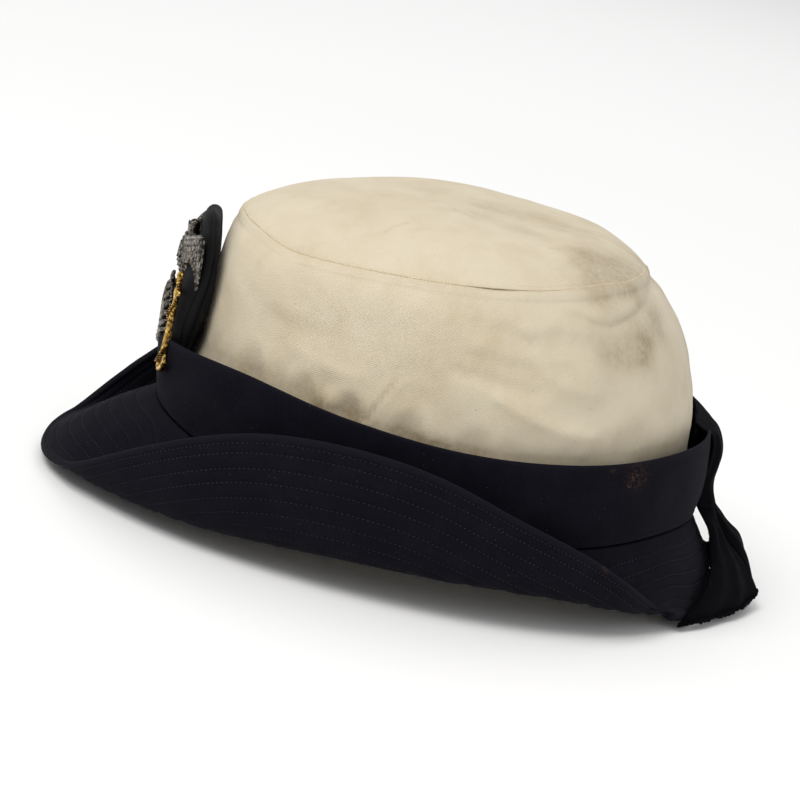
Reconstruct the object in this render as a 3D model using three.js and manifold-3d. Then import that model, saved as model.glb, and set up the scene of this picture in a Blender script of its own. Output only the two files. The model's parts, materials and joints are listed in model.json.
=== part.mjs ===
// Women's naval service hat: white cotton crown cover, navy serge band, a
// stitched navy brim rolled up at both sides, a ribbon bow at the back and a
// padded badge in front.  Millimetres, +Z up, front towards -Y, the wearer's
// left at +X.  The hat is drawn level on its band, then leans a little forward
// and stands on the floor on the front and back edges of its brim.
import * as THREE from 'three';
import * as BufferGeometryUtils from 'three/addons/utils/BufferGeometryUtils.js';
import Module from 'manifold-3d';

const wasm = await Module();
wasm.setup();

// ---------------------------------------------------------------- sizes
const GAP = 0.3;                      // clearance between neighbouring pieces
const COLUMNS = 56;                   // facets round every ring of cloth
const LEAN = 2.0;                     // degrees that the band leans forward

const COTTON = 1.1;                   // crown cloth
const SERGE = 1.4;                    // band cloth
const BRIM_CLOTH = 2.2;               // stitched layers of the brim
const RIBBON = 1.0;                   // bow ribbon

// crown, a row for each level above the foot; front and back are y, and taper
// is how much narrower the oval grows towards the front
const CROWN_LEVELS = [
  { height: 34, front: -99.5, back: 107.0, halfWidth: 85.0, taper: 0.0 },
  { height: 44, front: -93.2, back: 102.8, halfWidth: 81.0, taper: 0.0 },
  { height: 54, front: -90.9, back: 101.6, halfWidth: 80.2, taper: 0.0 },
  { height: 67, front: -87.7, back: 100.6, halfWidth: 80.2, taper: 0.02 },
  { height: 77, front: -86.6, back: 97.0, halfWidth: 79.8, taper: 0.04 },
  { height: 87, front: -85.8, back: 92.3, halfWidth: 79.0, taper: 0.05 },
  { height: 99, front: -85.6, back: 84.6, halfWidth: 77.2, taper: 0.06 },
  { height: 105, front: -84.4, back: 79.0, halfWidth: 75.8, taper: 0.07 },
  { height: 109.5, front: -81.8, back: 73.0, halfWidth: 73.8, taper: 0.08 },
];
const TIP_RISE = 15.0;                // height of the crown tip's soft dome
const TIP_FULLNESS = 4.2;             // how square the dome is across
const TIP_PUFF = 0.07;                // how much fuller the dome is at the back
const SEAM_TILT = 0.045;              // rise of the tip's seam towards the back

// band oval, and a row for each direction in degrees round it from the front
const BAND = { front: -102.4, back: 110.0, halfWidth: 88.0 };
const BAND_EDGES = [
  { angle: 0, top: 55.0, bottom: 31.0, topOut: 3.6, belly: 0.7 },
  { angle: 20, top: 58.0, bottom: 30.0, topOut: 2.4, belly: 0.4 },
  { angle: 45, top: 60.2, bottom: 26.5, topOut: 0.6, belly: 0.3 },
  { angle: 70, top: 56.4, bottom: 23.0, topOut: 0.0, belly: 0.5 },
  { angle: 95, top: 53.5, bottom: 22.0, topOut: 0.0, belly: 0.5 },
  { angle: 120, top: 54.4, bottom: 22.0, topOut: 0.0, belly: 0.8 },
  { angle: 150, top: 58.0, bottom: 26.0, topOut: -0.4, belly: 1.4 },
  { angle: 180, top: 58.5, bottom: 25.0, topOut: -0.4, belly: 1.8 },
];

// brim, a row for each direction: the edge, and the two handles that draw the
// section from the band out and down (drop) and on to the edge (rise)
const BRIM_SECTIONS = [
  { angle: 0, edgeOut: 39.0, edge: 0.8, dropOut: 13, drop: 24.0, riseOut: 27, rise: 13.0 },
  { angle: 12, edgeOut: 38.8, edge: 2.4, dropOut: 12, drop: 21.5, riseOut: 27, rise: 6.5 },
  { angle: 22, edgeOut: 35.5, edge: 10.0, dropOut: 11, drop: 13.0, riseOut: 29, rise: -8.0 },
  { angle: 30, edgeOut: 32.0, edge: 21.0, dropOut: 9, drop: 8.0, riseOut: 29, rise: -11.5 },
  { angle: 40, edgeOut: 28.5, edge: 32.8, dropOut: 7, drop: 3.0, riseOut: 28, rise: -11.5 },
  { angle: 50, edgeOut: 24.5, edge: 43.4, dropOut: 5, drop: 1.0, riseOut: 26, rise: -10.8 },
  { angle: 60, edgeOut: 21.0, edge: 49.7, dropOut: 4, drop: 2.0, riseOut: 23, rise: -8.5 },
  { angle: 75, edgeOut: 18.0, edge: 52.0, dropOut: 4, drop: 3.0, riseOut: 20, rise: -4.0 },
  { angle: 90, edgeOut: 16.0, edge: 47.8, dropOut: 4, drop: 2.0, riseOut: 18, rise: -1.5 },
  { angle: 105, edgeOut: 14.5, edge: 36.0, dropOut: 4, drop: 1.0, riseOut: 17, rise: -1.0 },
  { angle: 120, edgeOut: 13.5, edge: 24.8, dropOut: 4, drop: 1.0, riseOut: 16, rise: -4.0 },
  { angle: 135, edgeOut: 12.0, edge: 9.3, dropOut: 4, drop: 3.0, riseOut: 14, rise: -10.0 },
  { angle: 147, edgeOut: 9.5, edge: -2.5, dropOut: 4, drop: 8.0, riseOut: 11, rise: -9.0 },
  { angle: 160, edgeOut: 9.0, edge: -9.5, dropOut: 3, drop: 12.0, riseOut: 10, rise: 1.0 },
  { angle: 180, edgeOut: 10.5, edge: -10.2, dropOut: 3, drop: 12.0, riseOut: 13, rise: 5.0 },
];
const RIGHT_ROLL = 3.5;               // extra height of the edge on the right
const BRIM_TUCK = 0.3;                // how far the brim's face starts inside the band's

// ---------------------------------------------------------------- helpers
const radians = (degrees) => degrees * Math.PI / 180;
const mix = (a, b, k) => a + (b - a) * k;
const clamp = (x, low, high) => Math.min(high, Math.max(low, x));
const at = (x, y, z) => new THREE.Vector3(x, y, z);

// reads one column of a table by a smooth curve through its rows
function column(table, key, name, where) {
  const last = table.length - 1;
  let i = 0;
  while (i < last - 1 && where > table[i + 1][key]) i += 1;
  const before = table[Math.max(i - 1, 0)];
  const low = table[i];
  const high = table[i + 1];
  const after = table[Math.min(i + 2, last)];
  const span = high[key] - low[key];
  const k = clamp((where - low[key]) / span, 0, 1);
  const slope = (p, q) => (q[name] - p[name]) / (q[key] - p[key]) * span;
  const startSlope = i === 0 ? 0 : slope(before, high);
  const endSlope = i + 2 > last ? 0 : slope(low, after);
  const k2 = k * k;
  const k3 = k2 * k;
  return low[name] * (2 * k3 - 3 * k2 + 1) + startSlope * (k3 - 2 * k2 + k)
    + high[name] * (3 * k2 - 2 * k3) + endSlope * (k3 - k2);
}

// degrees from the front, 0 to 180, the same on both sides of the hat
const fromFront = (turn) => 180 - Math.abs(180 - turn * 360);

// a point of an oval given by its front and back ends and its half width,
// moved out along the oval's normal
function ovalPoint(oval, turn, height, out = 0) {
  const t = turn * 2 * Math.PI;
  const centre = (oval.front + oval.back) / 2;
  const halfLength = (oval.back - oval.front) / 2;
  const width = oval.halfWidth * (1 - (oval.taper ?? 0) * Math.cos(t));
  const normal = at(Math.sin(t) / oval.halfWidth, -Math.cos(t) / halfLength, 0).normalize();
  return at(width * Math.sin(t), centre - halfLength * Math.cos(t), height)
    .addScaledVector(normal, out);
}

// a closed body of cloth round a sheet given by two shares, along and across;
// it reaches outside and inside the sheet, by a size or by a rule of the two
// shares, and its faces look along x across
function cloth(sheet, options) {
  const { rows, columns, outside = 0, inside = 0, wrap = false, pole = false } = options;
  const poleAxis = options.poleAxis ?? at(0, 0, 1);
  const across = wrap ? columns : columns + 1;
  const share = (j) => (wrap ? (((j / columns) % 1) + 1) % 1 : clamp(j / columns, 0, 1));
  const point = (i, j) => sheet(clamp(i / rows, 0, 1), share(j));
  const reach = (size, i, j) => (typeof size === 'function' ? size(i / rows, share(j)) : size);
  const outer = [];
  const inner = [];
  for (let i = 0; i <= rows; i += 1) {
    for (let j = 0; j < across; j += 1) {
      const along = point(i + 0.5, j).sub(point(i - 0.5, j));
      const side = point(i, j + 0.5).sub(point(i, j - 0.5));
      const normal = pole && i === 0 ? poleAxis : along.cross(side).normalize();
      outer.push(point(i, j).addScaledVector(normal, reach(outside, i, j)));
      inner.push(point(i, j).addScaledVector(normal, -reach(inside, i, j)));
    }
  }
  const count = outer.length;
  const index = (i, j) => (pole && i === 0 ? 0 : i * across + (wrap ? j % across : j));
  const faces = [];
  const quad = (a, b, c, d) => {
    if (a !== b && b !== c && a !== c) faces.push(a, b, c);
    if (a !== c && c !== d && a !== d) faces.push(a, c, d);
  };
  for (let i = 0; i < rows; i += 1) {
    for (let j = 0; j < columns; j += 1) {
      const [a, b] = [index(i, j), index(i + 1, j)];
      const [c, d] = [index(i + 1, j + 1), index(i, j + 1)];
      quad(a, b, c, d);
      quad(a + count, d + count, c + count, b + count);
    }
  }
  for (let j = 0; j < columns; j += 1) {
    const [a, b] = [index(0, j), index(0, j + 1)];
    const [c, d] = [index(rows, j), index(rows, j + 1)];
    if (!pole) quad(a, b, b + count, a + count);
    quad(d, c, c + count, d + count);
  }
  for (let i = 0; i < rows && !wrap; i += 1) {
    const [a, b] = [index(i, 0), index(i + 1, 0)];
    const [c, d] = [index(i, columns), index(i + 1, columns)];
    quad(b, a, a + count, b + count);
    quad(c, d, d + count, c + count);
  }
  const geometry = new THREE.BufferGeometry();
  const positions = [...outer, ...inner].flatMap((p) => [p.x, p.y, p.z]);
  geometry.setAttribute('position', new THREE.Float32BufferAttribute(positions, 3));
  geometry.setIndex(faces);
  geometry.computeVertexNormals();
  return tight(geometry);
}

// drops the points that a pole leaves unused
function tight(geometry) {
  const bare = geometry.clone();
  bare.deleteAttribute('normal');
  const merged = BufferGeometryUtils.mergeVertices(bare.toNonIndexed(), 1e-5);
  merged.computeVertexNormals();
  return merged;
}

// a three.js geometry as a manifold solid
function solid(geometry) {
  const bare = geometry.clone();
  bare.deleteAttribute('normal');
  bare.deleteAttribute('uv');
  const merged = BufferGeometryUtils.mergeVertices(bare, 1e-5);
  return new wasm.Manifold(new wasm.Mesh({
    numProp: 3,
    vertProperties: new Float32Array(merged.attributes.position.array),
    triVerts: new Uint32Array(merged.index.array),
  }));
}

// a manifold solid back as a three.js geometry
function geometryOf(manifold) {
  const mesh = manifold.getMesh();
  const geometry = new THREE.BufferGeometry();
  geometry.setAttribute('position', new THREE.BufferAttribute(mesh.vertProperties, 3));
  geometry.setIndex(new THREE.BufferAttribute(mesh.triVerts, 1));
  geometry.computeVertexNormals();
  return geometry;
}

const joined = (parts) => parts.map(solid).reduce((sum, part) => sum.add(part));

// ---------------------------------------------------------------- crown
const crownOval = (height) => ({
  front: column(CROWN_LEVELS, 'height', 'front', height),
  back: column(CROWN_LEVELS, 'height', 'back', height),
  halfWidth: column(CROWN_LEVELS, 'height', 'halfWidth', height),
  taper: column(CROWN_LEVELS, 'height', 'taper', height),
});
const SEAM = CROWN_LEVELS.at(-1).height;
const bandEdge = (name, turn) => column(BAND_EDGES, 'angle', name, fromFront(turn));

// the side's foot spreads inside the band and ends at the band's lower edge
function crownSide() {
  const footSpread = GAP + SERGE;
  const sheet = (down, turn) => {
    const foot = bandEdge('bottom', turn) + GAP;
    const height = mix(SEAM, foot, down);
    const level = CROWN_LEVELS[0].height;
    if (height >= level) {
      const p = ovalPoint(crownOval(height), turn, height);
      p.z += SEAM_TILT * p.y * (height - level) / (SEAM - level);
      return p;
    }
    const k = (level - height) / (level - foot);
    const upper = ovalPoint(crownOval(level), turn, height);
    return upper.lerp(ovalPoint(BAND, turn, height, -footSpread), k);
  };
  return cloth(sheet, { rows: 9, columns: COLUMNS, inside: COTTON, wrap: true });
}

function crownTip() {
  const rim = crownOval(SEAM);
  const centre = (rim.front + rim.back) / 2;
  const sheet = (out, turn) => {
    const p = ovalPoint(rim, turn, 0);
    const y = mix(centre, p.y, out);
    const puff = 1 + TIP_PUFF * (y - centre) / (rim.back - centre);
    const rise = TIP_RISE * puff * (1 - out ** TIP_FULLNESS);
    return at(p.x * out, y, SEAM + SEAM_TILT * y + COTTON + GAP + rise);
  };
  return cloth(sheet, { rows: 5, columns: COLUMNS, inside: COTTON, wrap: true, pole: true });
}

// ---------------------------------------------------------------- band
function bandPoint(down, turn, out = 0) {
  const height = mix(bandEdge('top', turn), bandEdge('bottom', turn), down);
  const belly = bandEdge('belly', turn) * 4 * down * (1 - down);
  const spread = bandEdge('topOut', turn) * (1 - down) + belly + out;
  return ovalPoint(BAND, turn, height, spread);
}

function hatBand() {
  return cloth((down, turn) => bandPoint(down, turn), {
    rows: 3, columns: COLUMNS, inside: SERGE, wrap: true,
  });
}

// ---------------------------------------------------------------- brim
function brim() {
  const sheet = (along, turn) => {
    const angle = fromFront(turn);
    const read = (name) => column(BRIM_SECTIONS, 'angle', name, angle);
    const roll = RIGHT_ROLL * Math.max(0, -Math.sin(turn * 2 * Math.PI));
    const root = at(-BRIM_TUCK, bandEdge('bottom', turn) - 2 * GAP, 0);
    const drop = at(read('dropOut'), read('drop'), 0);
    const slope = drop.clone().sub(root).normalize();
    root.add(at(slope.y, -slope.x, 0).multiplyScalar(BRIM_CLOTH));
    const section = new THREE.CubicBezierCurve3(
      root, drop,
      at(read('riseOut'), read('rise'), 0), at(read('edgeOut'), read('edge') + roll, 0));
    const p = section.getPoint(along);
    return ovalPoint(BAND, turn, p.y, p.x);
  };
  return cloth(sheet, { rows: 12, columns: COLUMNS, outside: BRIM_CLOTH, wrap: true });
}

// ---------------------------------------------------------------- bow
const BOW_END = { near: 10, far: -30, low: 56, high: 67, bottom: 46, clear: 1.5 };
const KNOT = { halfWidth: 11, top: 58, bottom: 26, thick: 3.0, clear: 2.6, inward: 2.2 };

// the ribbon's upper end, standing between the crown and the band
function bowEnd() {
  const { near, far, low, high, bottom, clear } = BOW_END;
  const oval = crownOval(52);
  const sheet = (down, acrossShare) => {
    const x = mix(near, far, acrossShare);
    const height = mix(mix(low, high, acrossShare), bottom, down);
    const turn = 0.5 - Math.asin(x / oval.halfWidth) / (2 * Math.PI);
    return ovalPoint(oval, turn, height, clear);
  };
  return cloth(sheet, { rows: 3, columns: 10, outside: RIBBON });
}

// the wrapped middle of the bow, over the band's edge and down its outside
function bowKnot() {
  const { halfWidth, top, bottom, thick, clear, inward } = KNOT;
  const back = BAND.back + clear;
  const face = back + thick;
  const section = new THREE.Shape();
  section.moveTo(back, bottom);
  section.lineTo(face - 1, bottom);
  section.quadraticCurveTo(face + 1.4, (top + bottom) / 2, face - 2.6, top - 1.5);
  section.quadraticCurveTo(face - 3.4, top, back - inward, top);
  section.lineTo(back - inward, top - 2.6);
  section.quadraticCurveTo(back, top - 4, back, top - 8);
  section.closePath();
  const geometry = new THREE.ExtrudeGeometry(section, {
    depth: 2 * halfWidth, bevelEnabled: false, curveSegments: 5,
  });
  // the section's x is the hat's y and its y the hat's z
  geometry.applyMatrix4(new THREE.Matrix4().makeBasis(at(0, 1, 0), at(0, 0, 1), at(1, 0, 0)));
  geometry.translate(-halfWidth, 0, 0);
  return geometryOf(solid(geometry));
}

// one tail, from the knot down over the back brim and out to its pinked end;
// a row for each step down: the inner edge on the middle, the outer edge aside
const TAIL_ROWS = [
  { down: 0.0, innerY: 115.9, innerZ: 25.3, outerX: 10, outerY: 114.6, outerZ: 25.3, bulge: 0.0 },
  { down: 0.2, innerY: 121.0, innerZ: 16.5, outerX: 15, outerY: 117.4, outerZ: 17.0, bulge: 0.6 },
  { down: 0.4, innerY: 127.5, innerZ: 10.5, outerX: 21, outerY: 118.6, outerZ: 9.5, bulge: 1.6 },
  { down: 0.6, innerY: 134.5, innerZ: 5.8, outerX: 30, outerY: 118.6, outerZ: 1.5, bulge: 2.4 },
  { down: 0.8, innerY: 140.0, innerZ: -1.5, outerX: 41, outerY: 114.5, outerZ: -5.5, bulge: 3.0 },
  { down: 1.0, innerY: 142.6, innerZ: -10.6, outerX: 52, outerY: 107.6, outerZ: -9.6, bulge: 2.4 },
];
const PINKS = 10;                     // teeth along a tail's end
const PINK_DEPTH = 1.4;
const RIGHT_LIFT = 4.0;               // extra arch of the right tail

function bowTail(side) {
  const sheet = (down, acrossShare) => {
    const read = (name) => column(TAIL_ROWS, 'down', name, down);
    const k = side > 0 ? 1 - acrossShare : acrossShare;
    const inner = at(side * (RIBBON / 2 + GAP), read('innerY'), read('innerZ'));
    const outer = at(side * read('outerX'), read('outerY'), read('outerZ'));
    const p = inner.lerp(outer, k);
    p.y += read('bulge') * 4 * k * (1 - k);
    if (side < 0) p.z += RIGHT_LIFT * Math.sin(Math.PI * down);
    if (down === 1) p.z += PINK_DEPTH * Math.abs((k * PINKS) % 1 - 0.5) * 2;
    return p;
  };
  return cloth(sheet, { rows: 7, columns: 2 * PINKS, inside: RIBBON });
}

// ---------------------------------------------------------------- badge
// padded backing, a row for each height: the middle of its thickness at x 0
const PAD_ROWS = [
  { height: 41, middle: -98.75, halfWidth: 17.0 },
  { height: 52, middle: -97.3, halfWidth: 19.0 },
  { height: 63, middle: -94.8, halfWidth: 22.0 },
  { height: 76, middle: -92.9, halfWidth: 24.0 },
  { height: 90, middle: -94.3, halfWidth: 23.0 },
  { height: 105, middle: -94.6, halfWidth: 18.0 },
];
const PAD = { bottom: 41, top: 105, thick: 5.6, rim: 1.6, corner: 0.24, end: 0.06 };
const WRAP = 72;                      // radius by which the badge follows the front
const METAL_SEAT = -97.6;             // y at which the metal meets the pad

const wrapped = (x) => x * x / (2 * WRAP);

// the pad is full in the middle and thin and rounded at its rim
function padSheet(down, acrossShare) {
  const height = mix(PAD.top, PAD.bottom, down ** 1.4);
  const round = Math.sqrt(1 - Math.max(0, 1 - down / PAD.corner) ** 2);
  const width = column(PAD_ROWS, 'height', 'halfWidth', height) * mix(0.45, 1, round);
  const x = mix(-width, width, acrossShare);
  return at(x, column(PAD_ROWS, 'height', 'middle', height) + wrapped(x), height);
}

function padHalf(down, acrossShare) {
  const side = 1 - Math.abs(2 * acrossShare - 1) ** 3;
  const end = 1 - Math.max(0, 1 - down / PAD.end) ** 2;
  return mix(PAD.rim, PAD.thick, Math.sqrt(side * end)) / 2;
}

const badgePad = () => cloth(padSheet, {
  rows: 12, columns: 12, outside: padHalf, inside: padHalf,
});

// room that the metal leaves for the pad and the band behind it
function badgeRoom() {
  const room = (size) => (down, acrossShare) => padHalf(down, acrossShare) + size;
  const pad = cloth(padSheet, { rows: 12, columns: 12, outside: room(GAP), inside: room(0) });
  const overEdge = -0.03;
  const band = cloth((down, turn) => bandPoint(mix(overEdge, 1, down), turn), {
    rows: 3, columns: COLUMNS, outside: GAP, inside: 5 * SERGE, wrap: true,
  });
  return solid(pad).add(solid(band));
}

// a rod between two points
function rod(from, to, radius, endRadius = radius) {
  const geometry = new THREE.CylinderGeometry(endRadius, radius, from.distanceTo(to), 8);
  geometry.applyQuaternion(new THREE.Quaternion().setFromUnitVectors(
    at(0, 1, 0), to.clone().sub(from).normalize()));
  const middle = from.clone().lerp(to, 0.5);
  geometry.translate(middle.x, middle.y, middle.z);
  return geometry;
}

function ball(centre, radii) {
  const geometry = new THREE.SphereGeometry(1, 12, 8);
  geometry.scale(radii.x, radii.y, radii.z);
  geometry.translate(centre.x, centre.y, centre.z);
  return geometry;
}

// a plate drawn from the front as points [x, z], its back at y; it is as thick
// as the rule of x says
function plate(outline, y, thick) {
  const shape = new THREE.Shape(outline.map(([x, z]) => new THREE.Vector2(x, z)));
  const geometry = new THREE.ExtrudeGeometry(shape, { depth: 1, bevelEnabled: false });
  geometry.applyMatrix4(new THREE.Matrix4().makeBasis(at(1, 0, 0), at(0, 0, 1), at(0, -1, 0)));
  const points = geometry.attributes.position;
  for (let i = 0; i < points.count; i += 1) {
    points.setY(i, y + points.getY(i) * thick(Math.abs(points.getX(i))));
  }
  return geometry;
}

// metal cut clear of the cloth behind it, after it is bent round the front
function fitted(parts) {
  for (const part of parts) {
    const points = part.attributes.position;
    for (let i = 0; i < points.count; i += 1) {
      points.setY(i, points.getY(i) + wrapped(points.getX(i)));
    }
  }
  return geometryOf(joined(parts).subtract(badgeRoom()));
}

// silver sea bird with drooping wings, standing on a fluted shell
const BIRD = { head: 98.5, shoulder: 93, body: 85, foot: 80, wingTip: 78, span: 22, depth: 5.6 };
const SHELL = { top: 75.5, bottom: 51.5, halfWidth: 11.5, face: -105.8, ribs: 9 };

function wing(side) {
  const { shoulder, foot, wingTip, span, depth } = BIRD;
  const outline = [
    [0, foot + 1], [6, foot + 3], [9.5, foot + 3.5], [11, foot + 1], [13.5, foot + 2],
    [15, foot - 0.5], [17.5, foot + 1], [span, wingTip], [21.5, foot + 6],
    [18, shoulder - 5], [13, shoulder - 0.5], [7, shoulder + 1], [0, shoulder - 3],
  ].map(([x, z]) => [side * x, z]);
  const thick = (x) => 1.2 + depth * Math.max(0, 1 - x / span);
  return plate(side > 0 ? outline : outline.reverse(), METAL_SEAT + 1, thick);
}

function shell() {
  const { top, bottom, halfWidth, face, ribs } = SHELL;
  const middle = (top + bottom) / 2;
  const sheet = (out, turn) => {
    const t = turn * 2 * Math.PI;
    const rib = Math.cos(t * ribs) * out;
    const width = (halfWidth + 0.6 * rib) * (1 - 0.12 * out * (1 - Math.cos(t)));
    return at(out * width * Math.sin(t), face + 2.0 * out ** 3 - 0.3 * rib,
      middle + out * (top - middle) * Math.cos(t));
  };
  return cloth(sheet, {
    rows: 4, columns: 4 * ribs, inside: 2.6, wrap: true, pole: true, poleAxis: at(0, -1, 0),
  });
}

function badgeCrest() {
  const { head, body, foot } = BIRD;
  const chest = METAL_SEAT - 3.2;
  return fitted([
    ball(at(0, chest, body), at(4.8, 3.4, 8.6)),
    ball(at(0, METAL_SEAT - 1.4, head - 2), at(2.7, 2.2, 3.6)),
    rod(at(0, chest, body + 4), at(0, METAL_SEAT - 1.4, head - 3), 2.9, 2.1),
    rod(at(0, METAL_SEAT - 1.6, head - 1.8), at(5.0, METAL_SEAT - 1.6, head - 2.4), 1.3, 0.4),
    rod(at(0, chest, foot + 3), at(0, SHELL.face + 2.4, SHELL.top - 4), 3.0, 3.2),
    wing(1), wing(-1), shell(),
  ]);
}

// gold anchors on either side of the shell, their lower ends on the band
const ANCHOR = { x: 20.5, back: -105.6, ring: 77, stock: 72, crown: 43.5, arm: 6.5, radius: 1.25, lean: 0.04 };

function badgeAnchor(side) {
  const { x, back, ring, stock, crown, arm, radius, lean } = ANCHOR;
  const y = back - radius;
  const spot = (across, height) => at(side * x + across, y + lean * (height - crown), height);
  const eye = new THREE.TorusGeometry(2.2, 0.75, 8, 14);
  eye.rotateX(Math.PI / 2);
  eye.translate(side * x, spot(0, ring).y, ring + 0.6);
  const arms = [1, -1].flatMap((way) => [
    rod(spot(0, crown + 1), spot(way * arm * 0.7, crown + 3), 1.5, 1.2),
    rod(spot(way * arm * 0.7, crown + 3), spot(way * arm, crown + 8), 1.3, 0.7),
    ball(spot(way * (arm - 0.6), crown + 6.6), at(1.9, 1.0, 2.6)),
  ]);
  return fitted([
    eye, ...arms,
    rod(spot(0, crown), spot(0, ring - 0.8), radius + 0.2, radius - 0.1),
    rod(spot(-5.2, stock), spot(5.2, stock), 0.95),
    ball(spot(-5.2, stock), at(1.3, 1.2, 1.3)), ball(spot(5.2, stock), at(1.3, 1.2, 1.3)),
    ball(spot(0, crown + 0.4), at(1.9, 1.5, 2.2)),
  ]);
}

// ---------------------------------------------------------------- assembly
const CREAM = new THREE.MeshStandardMaterial({ color: 0xe9dcbb, roughness: 0.9, metalness: 0 });
const NAVY = new THREE.MeshStandardMaterial({ color: 0x191822, roughness: 0.85, metalness: 0 });
const SILVER = new THREE.MeshStandardMaterial({ color: 0x8f8b84, roughness: 0.45, metalness: 1 });
const GOLD = new THREE.MeshStandardMaterial({ color: 0xc9a04a, roughness: 0.4, metalness: 1 });
const BLACK = new THREE.MeshStandardMaterial({ color: 0x101015, roughness: 0.8, metalness: 0 });

const level = new THREE.Group();
level.rotation.x = radians(LEAN);
function add(name, geometry, material) {
  const mesh = new THREE.Mesh(geometry, material);
  mesh.name = name;
  level.add(mesh);
}

add('crown_side', crownSide(), CREAM);
add('crown_tip', crownTip(), CREAM);
add('hat_band', hatBand(), NAVY);
add('brim', brim(), NAVY);
add('bow_end', bowEnd(), BLACK);
add('bow_knot', bowKnot(), BLACK);
add('bow_tail_left', bowTail(1), BLACK);
add('bow_tail_right', bowTail(-1), BLACK);
add('badge_pad', badgePad(), BLACK);
add('badge_crest', badgeCrest(), SILVER);
add('badge_anchor_left', badgeAnchor(1), GOLD);
add('badge_anchor_right', badgeAnchor(-1), GOLD);

// the hat stands on the floor, and its origin is under the middle of its box
const hat = new THREE.Group();
hat.add(level);
hat.updateMatrixWorld(true);
const box = new THREE.Box3().setFromObject(hat, true);
hat.position.set(0, -(box.min.y + box.max.y) / 2, -box.min.z);

export default hat;
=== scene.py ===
"""A women's naval service hat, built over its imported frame.

White cotton crown, navy serge band, stitched brim rolled up at both sides,
ribbon bow behind and a padded badge in front.  Shapes are worked out in
millimetres with the band level, then leaned and set on the floor in metres.
"""
import sys
import json
import logging
import math
from collections.abc import Callable, Iterable, Iterator, Sequence
from contextlib import contextmanager
from dataclasses import dataclass, field
from enum import Enum

import bpy
import numpy as np
from mathutils import Euler, Matrix, Vector

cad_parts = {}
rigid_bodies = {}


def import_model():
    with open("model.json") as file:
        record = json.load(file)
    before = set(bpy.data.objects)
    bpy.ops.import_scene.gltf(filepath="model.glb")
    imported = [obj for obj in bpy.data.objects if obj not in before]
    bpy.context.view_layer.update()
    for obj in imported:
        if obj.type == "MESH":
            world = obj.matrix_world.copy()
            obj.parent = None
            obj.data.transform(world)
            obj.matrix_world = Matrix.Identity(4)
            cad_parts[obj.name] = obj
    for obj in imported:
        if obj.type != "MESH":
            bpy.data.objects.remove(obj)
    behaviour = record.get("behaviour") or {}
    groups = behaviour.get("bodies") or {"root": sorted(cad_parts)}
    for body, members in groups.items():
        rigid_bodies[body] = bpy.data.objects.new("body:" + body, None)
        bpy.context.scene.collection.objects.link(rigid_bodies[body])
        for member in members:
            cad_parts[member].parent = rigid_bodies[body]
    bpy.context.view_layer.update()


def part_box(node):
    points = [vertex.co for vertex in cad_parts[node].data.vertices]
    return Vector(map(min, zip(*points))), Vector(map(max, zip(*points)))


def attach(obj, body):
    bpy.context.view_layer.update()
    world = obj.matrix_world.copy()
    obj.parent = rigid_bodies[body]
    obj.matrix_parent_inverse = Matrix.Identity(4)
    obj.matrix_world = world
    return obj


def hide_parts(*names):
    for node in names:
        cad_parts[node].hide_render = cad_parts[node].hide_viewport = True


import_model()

LOG = logging.getLogger("hat")
MM = 0.001
TAU = 2 * math.pi
# thicknesses of the cloths, and the gap between pieces, in mm
GAP = 0.3
COTTON = 1.1
SERGE = 1.4
BRIM_CLOTH = 2.2
RIBBON = 1.0

Array = np.ndarray
Colour = tuple[float, float, float]
Surface = Callable[[Array, Array], Array]
Rule = Callable[[Array], Array]
Piece = bpy.types.Object
Finish = bpy.types.Material
Values = dict[int | str, object]


class Slot(Enum):
    """The record's material slots."""

    COTTON = "crown_cotton"
    SERGE = "navy_serge"
    RIBBON = "bow_ribbon"
    PAD = "badge_cloth"
    SILVER = "silver_metal"
    GOLD = "gold_metal"


class Side(Enum):
    """The wearer's two sides."""

    LEFT = 1
    RIGHT = -1


# --- numbers
class Pattern:
    """Columns of sizes against one key, read along smooth curves."""

    def __init__(self, keys: Sequence[float], **columns: Sequence[float]) -> None:
        """Keep the columns and their slopes.

        Args:
            keys: the rising keys of the rows.
            columns: one size for each key, by name.
        """
        self.keys = np.array(keys, float)
        self.columns = {name: np.array(values, float) for name, values in columns.items()}
        self.slopes = {}
        for name, values in self.columns.items():
            slope = np.zeros_like(values)
            slope[1:-1] = (values[2:] - values[:-2]) / (self.keys[2:] - self.keys[:-2])
            self.slopes[name] = slope

    def read(self, name: str, where: Array | float) -> Array:
        """Read a column.

        Args:
            name: the column.
            where: keys to read it at.

        Returns:
            The sizes there.
        """
        keys, values, slopes = self.keys, self.columns[name], self.slopes[name]
        where = np.clip(where, keys[0], keys[-1])
        i = np.clip(np.searchsorted(keys, where, side="right") - 1, 0, len(keys) - 2)
        span = keys[i + 1] - keys[i]
        k = (where - keys[i]) / span
        k2, k3 = k * k, k * k * k
        start = values[i] * (2 * k3 - 3 * k2 + 1) + slopes[i] * span * (k3 - 2 * k2 + k)
        return start + values[i + 1] * (3 * k2 - 2 * k3) + slopes[i + 1] * span * (k3 - k2)

    def row(self, where: Array | float) -> dict[str, Array]:
        """Every column at these keys, by name."""
        return {name: self.read(name, where) for name in self.columns}


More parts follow.
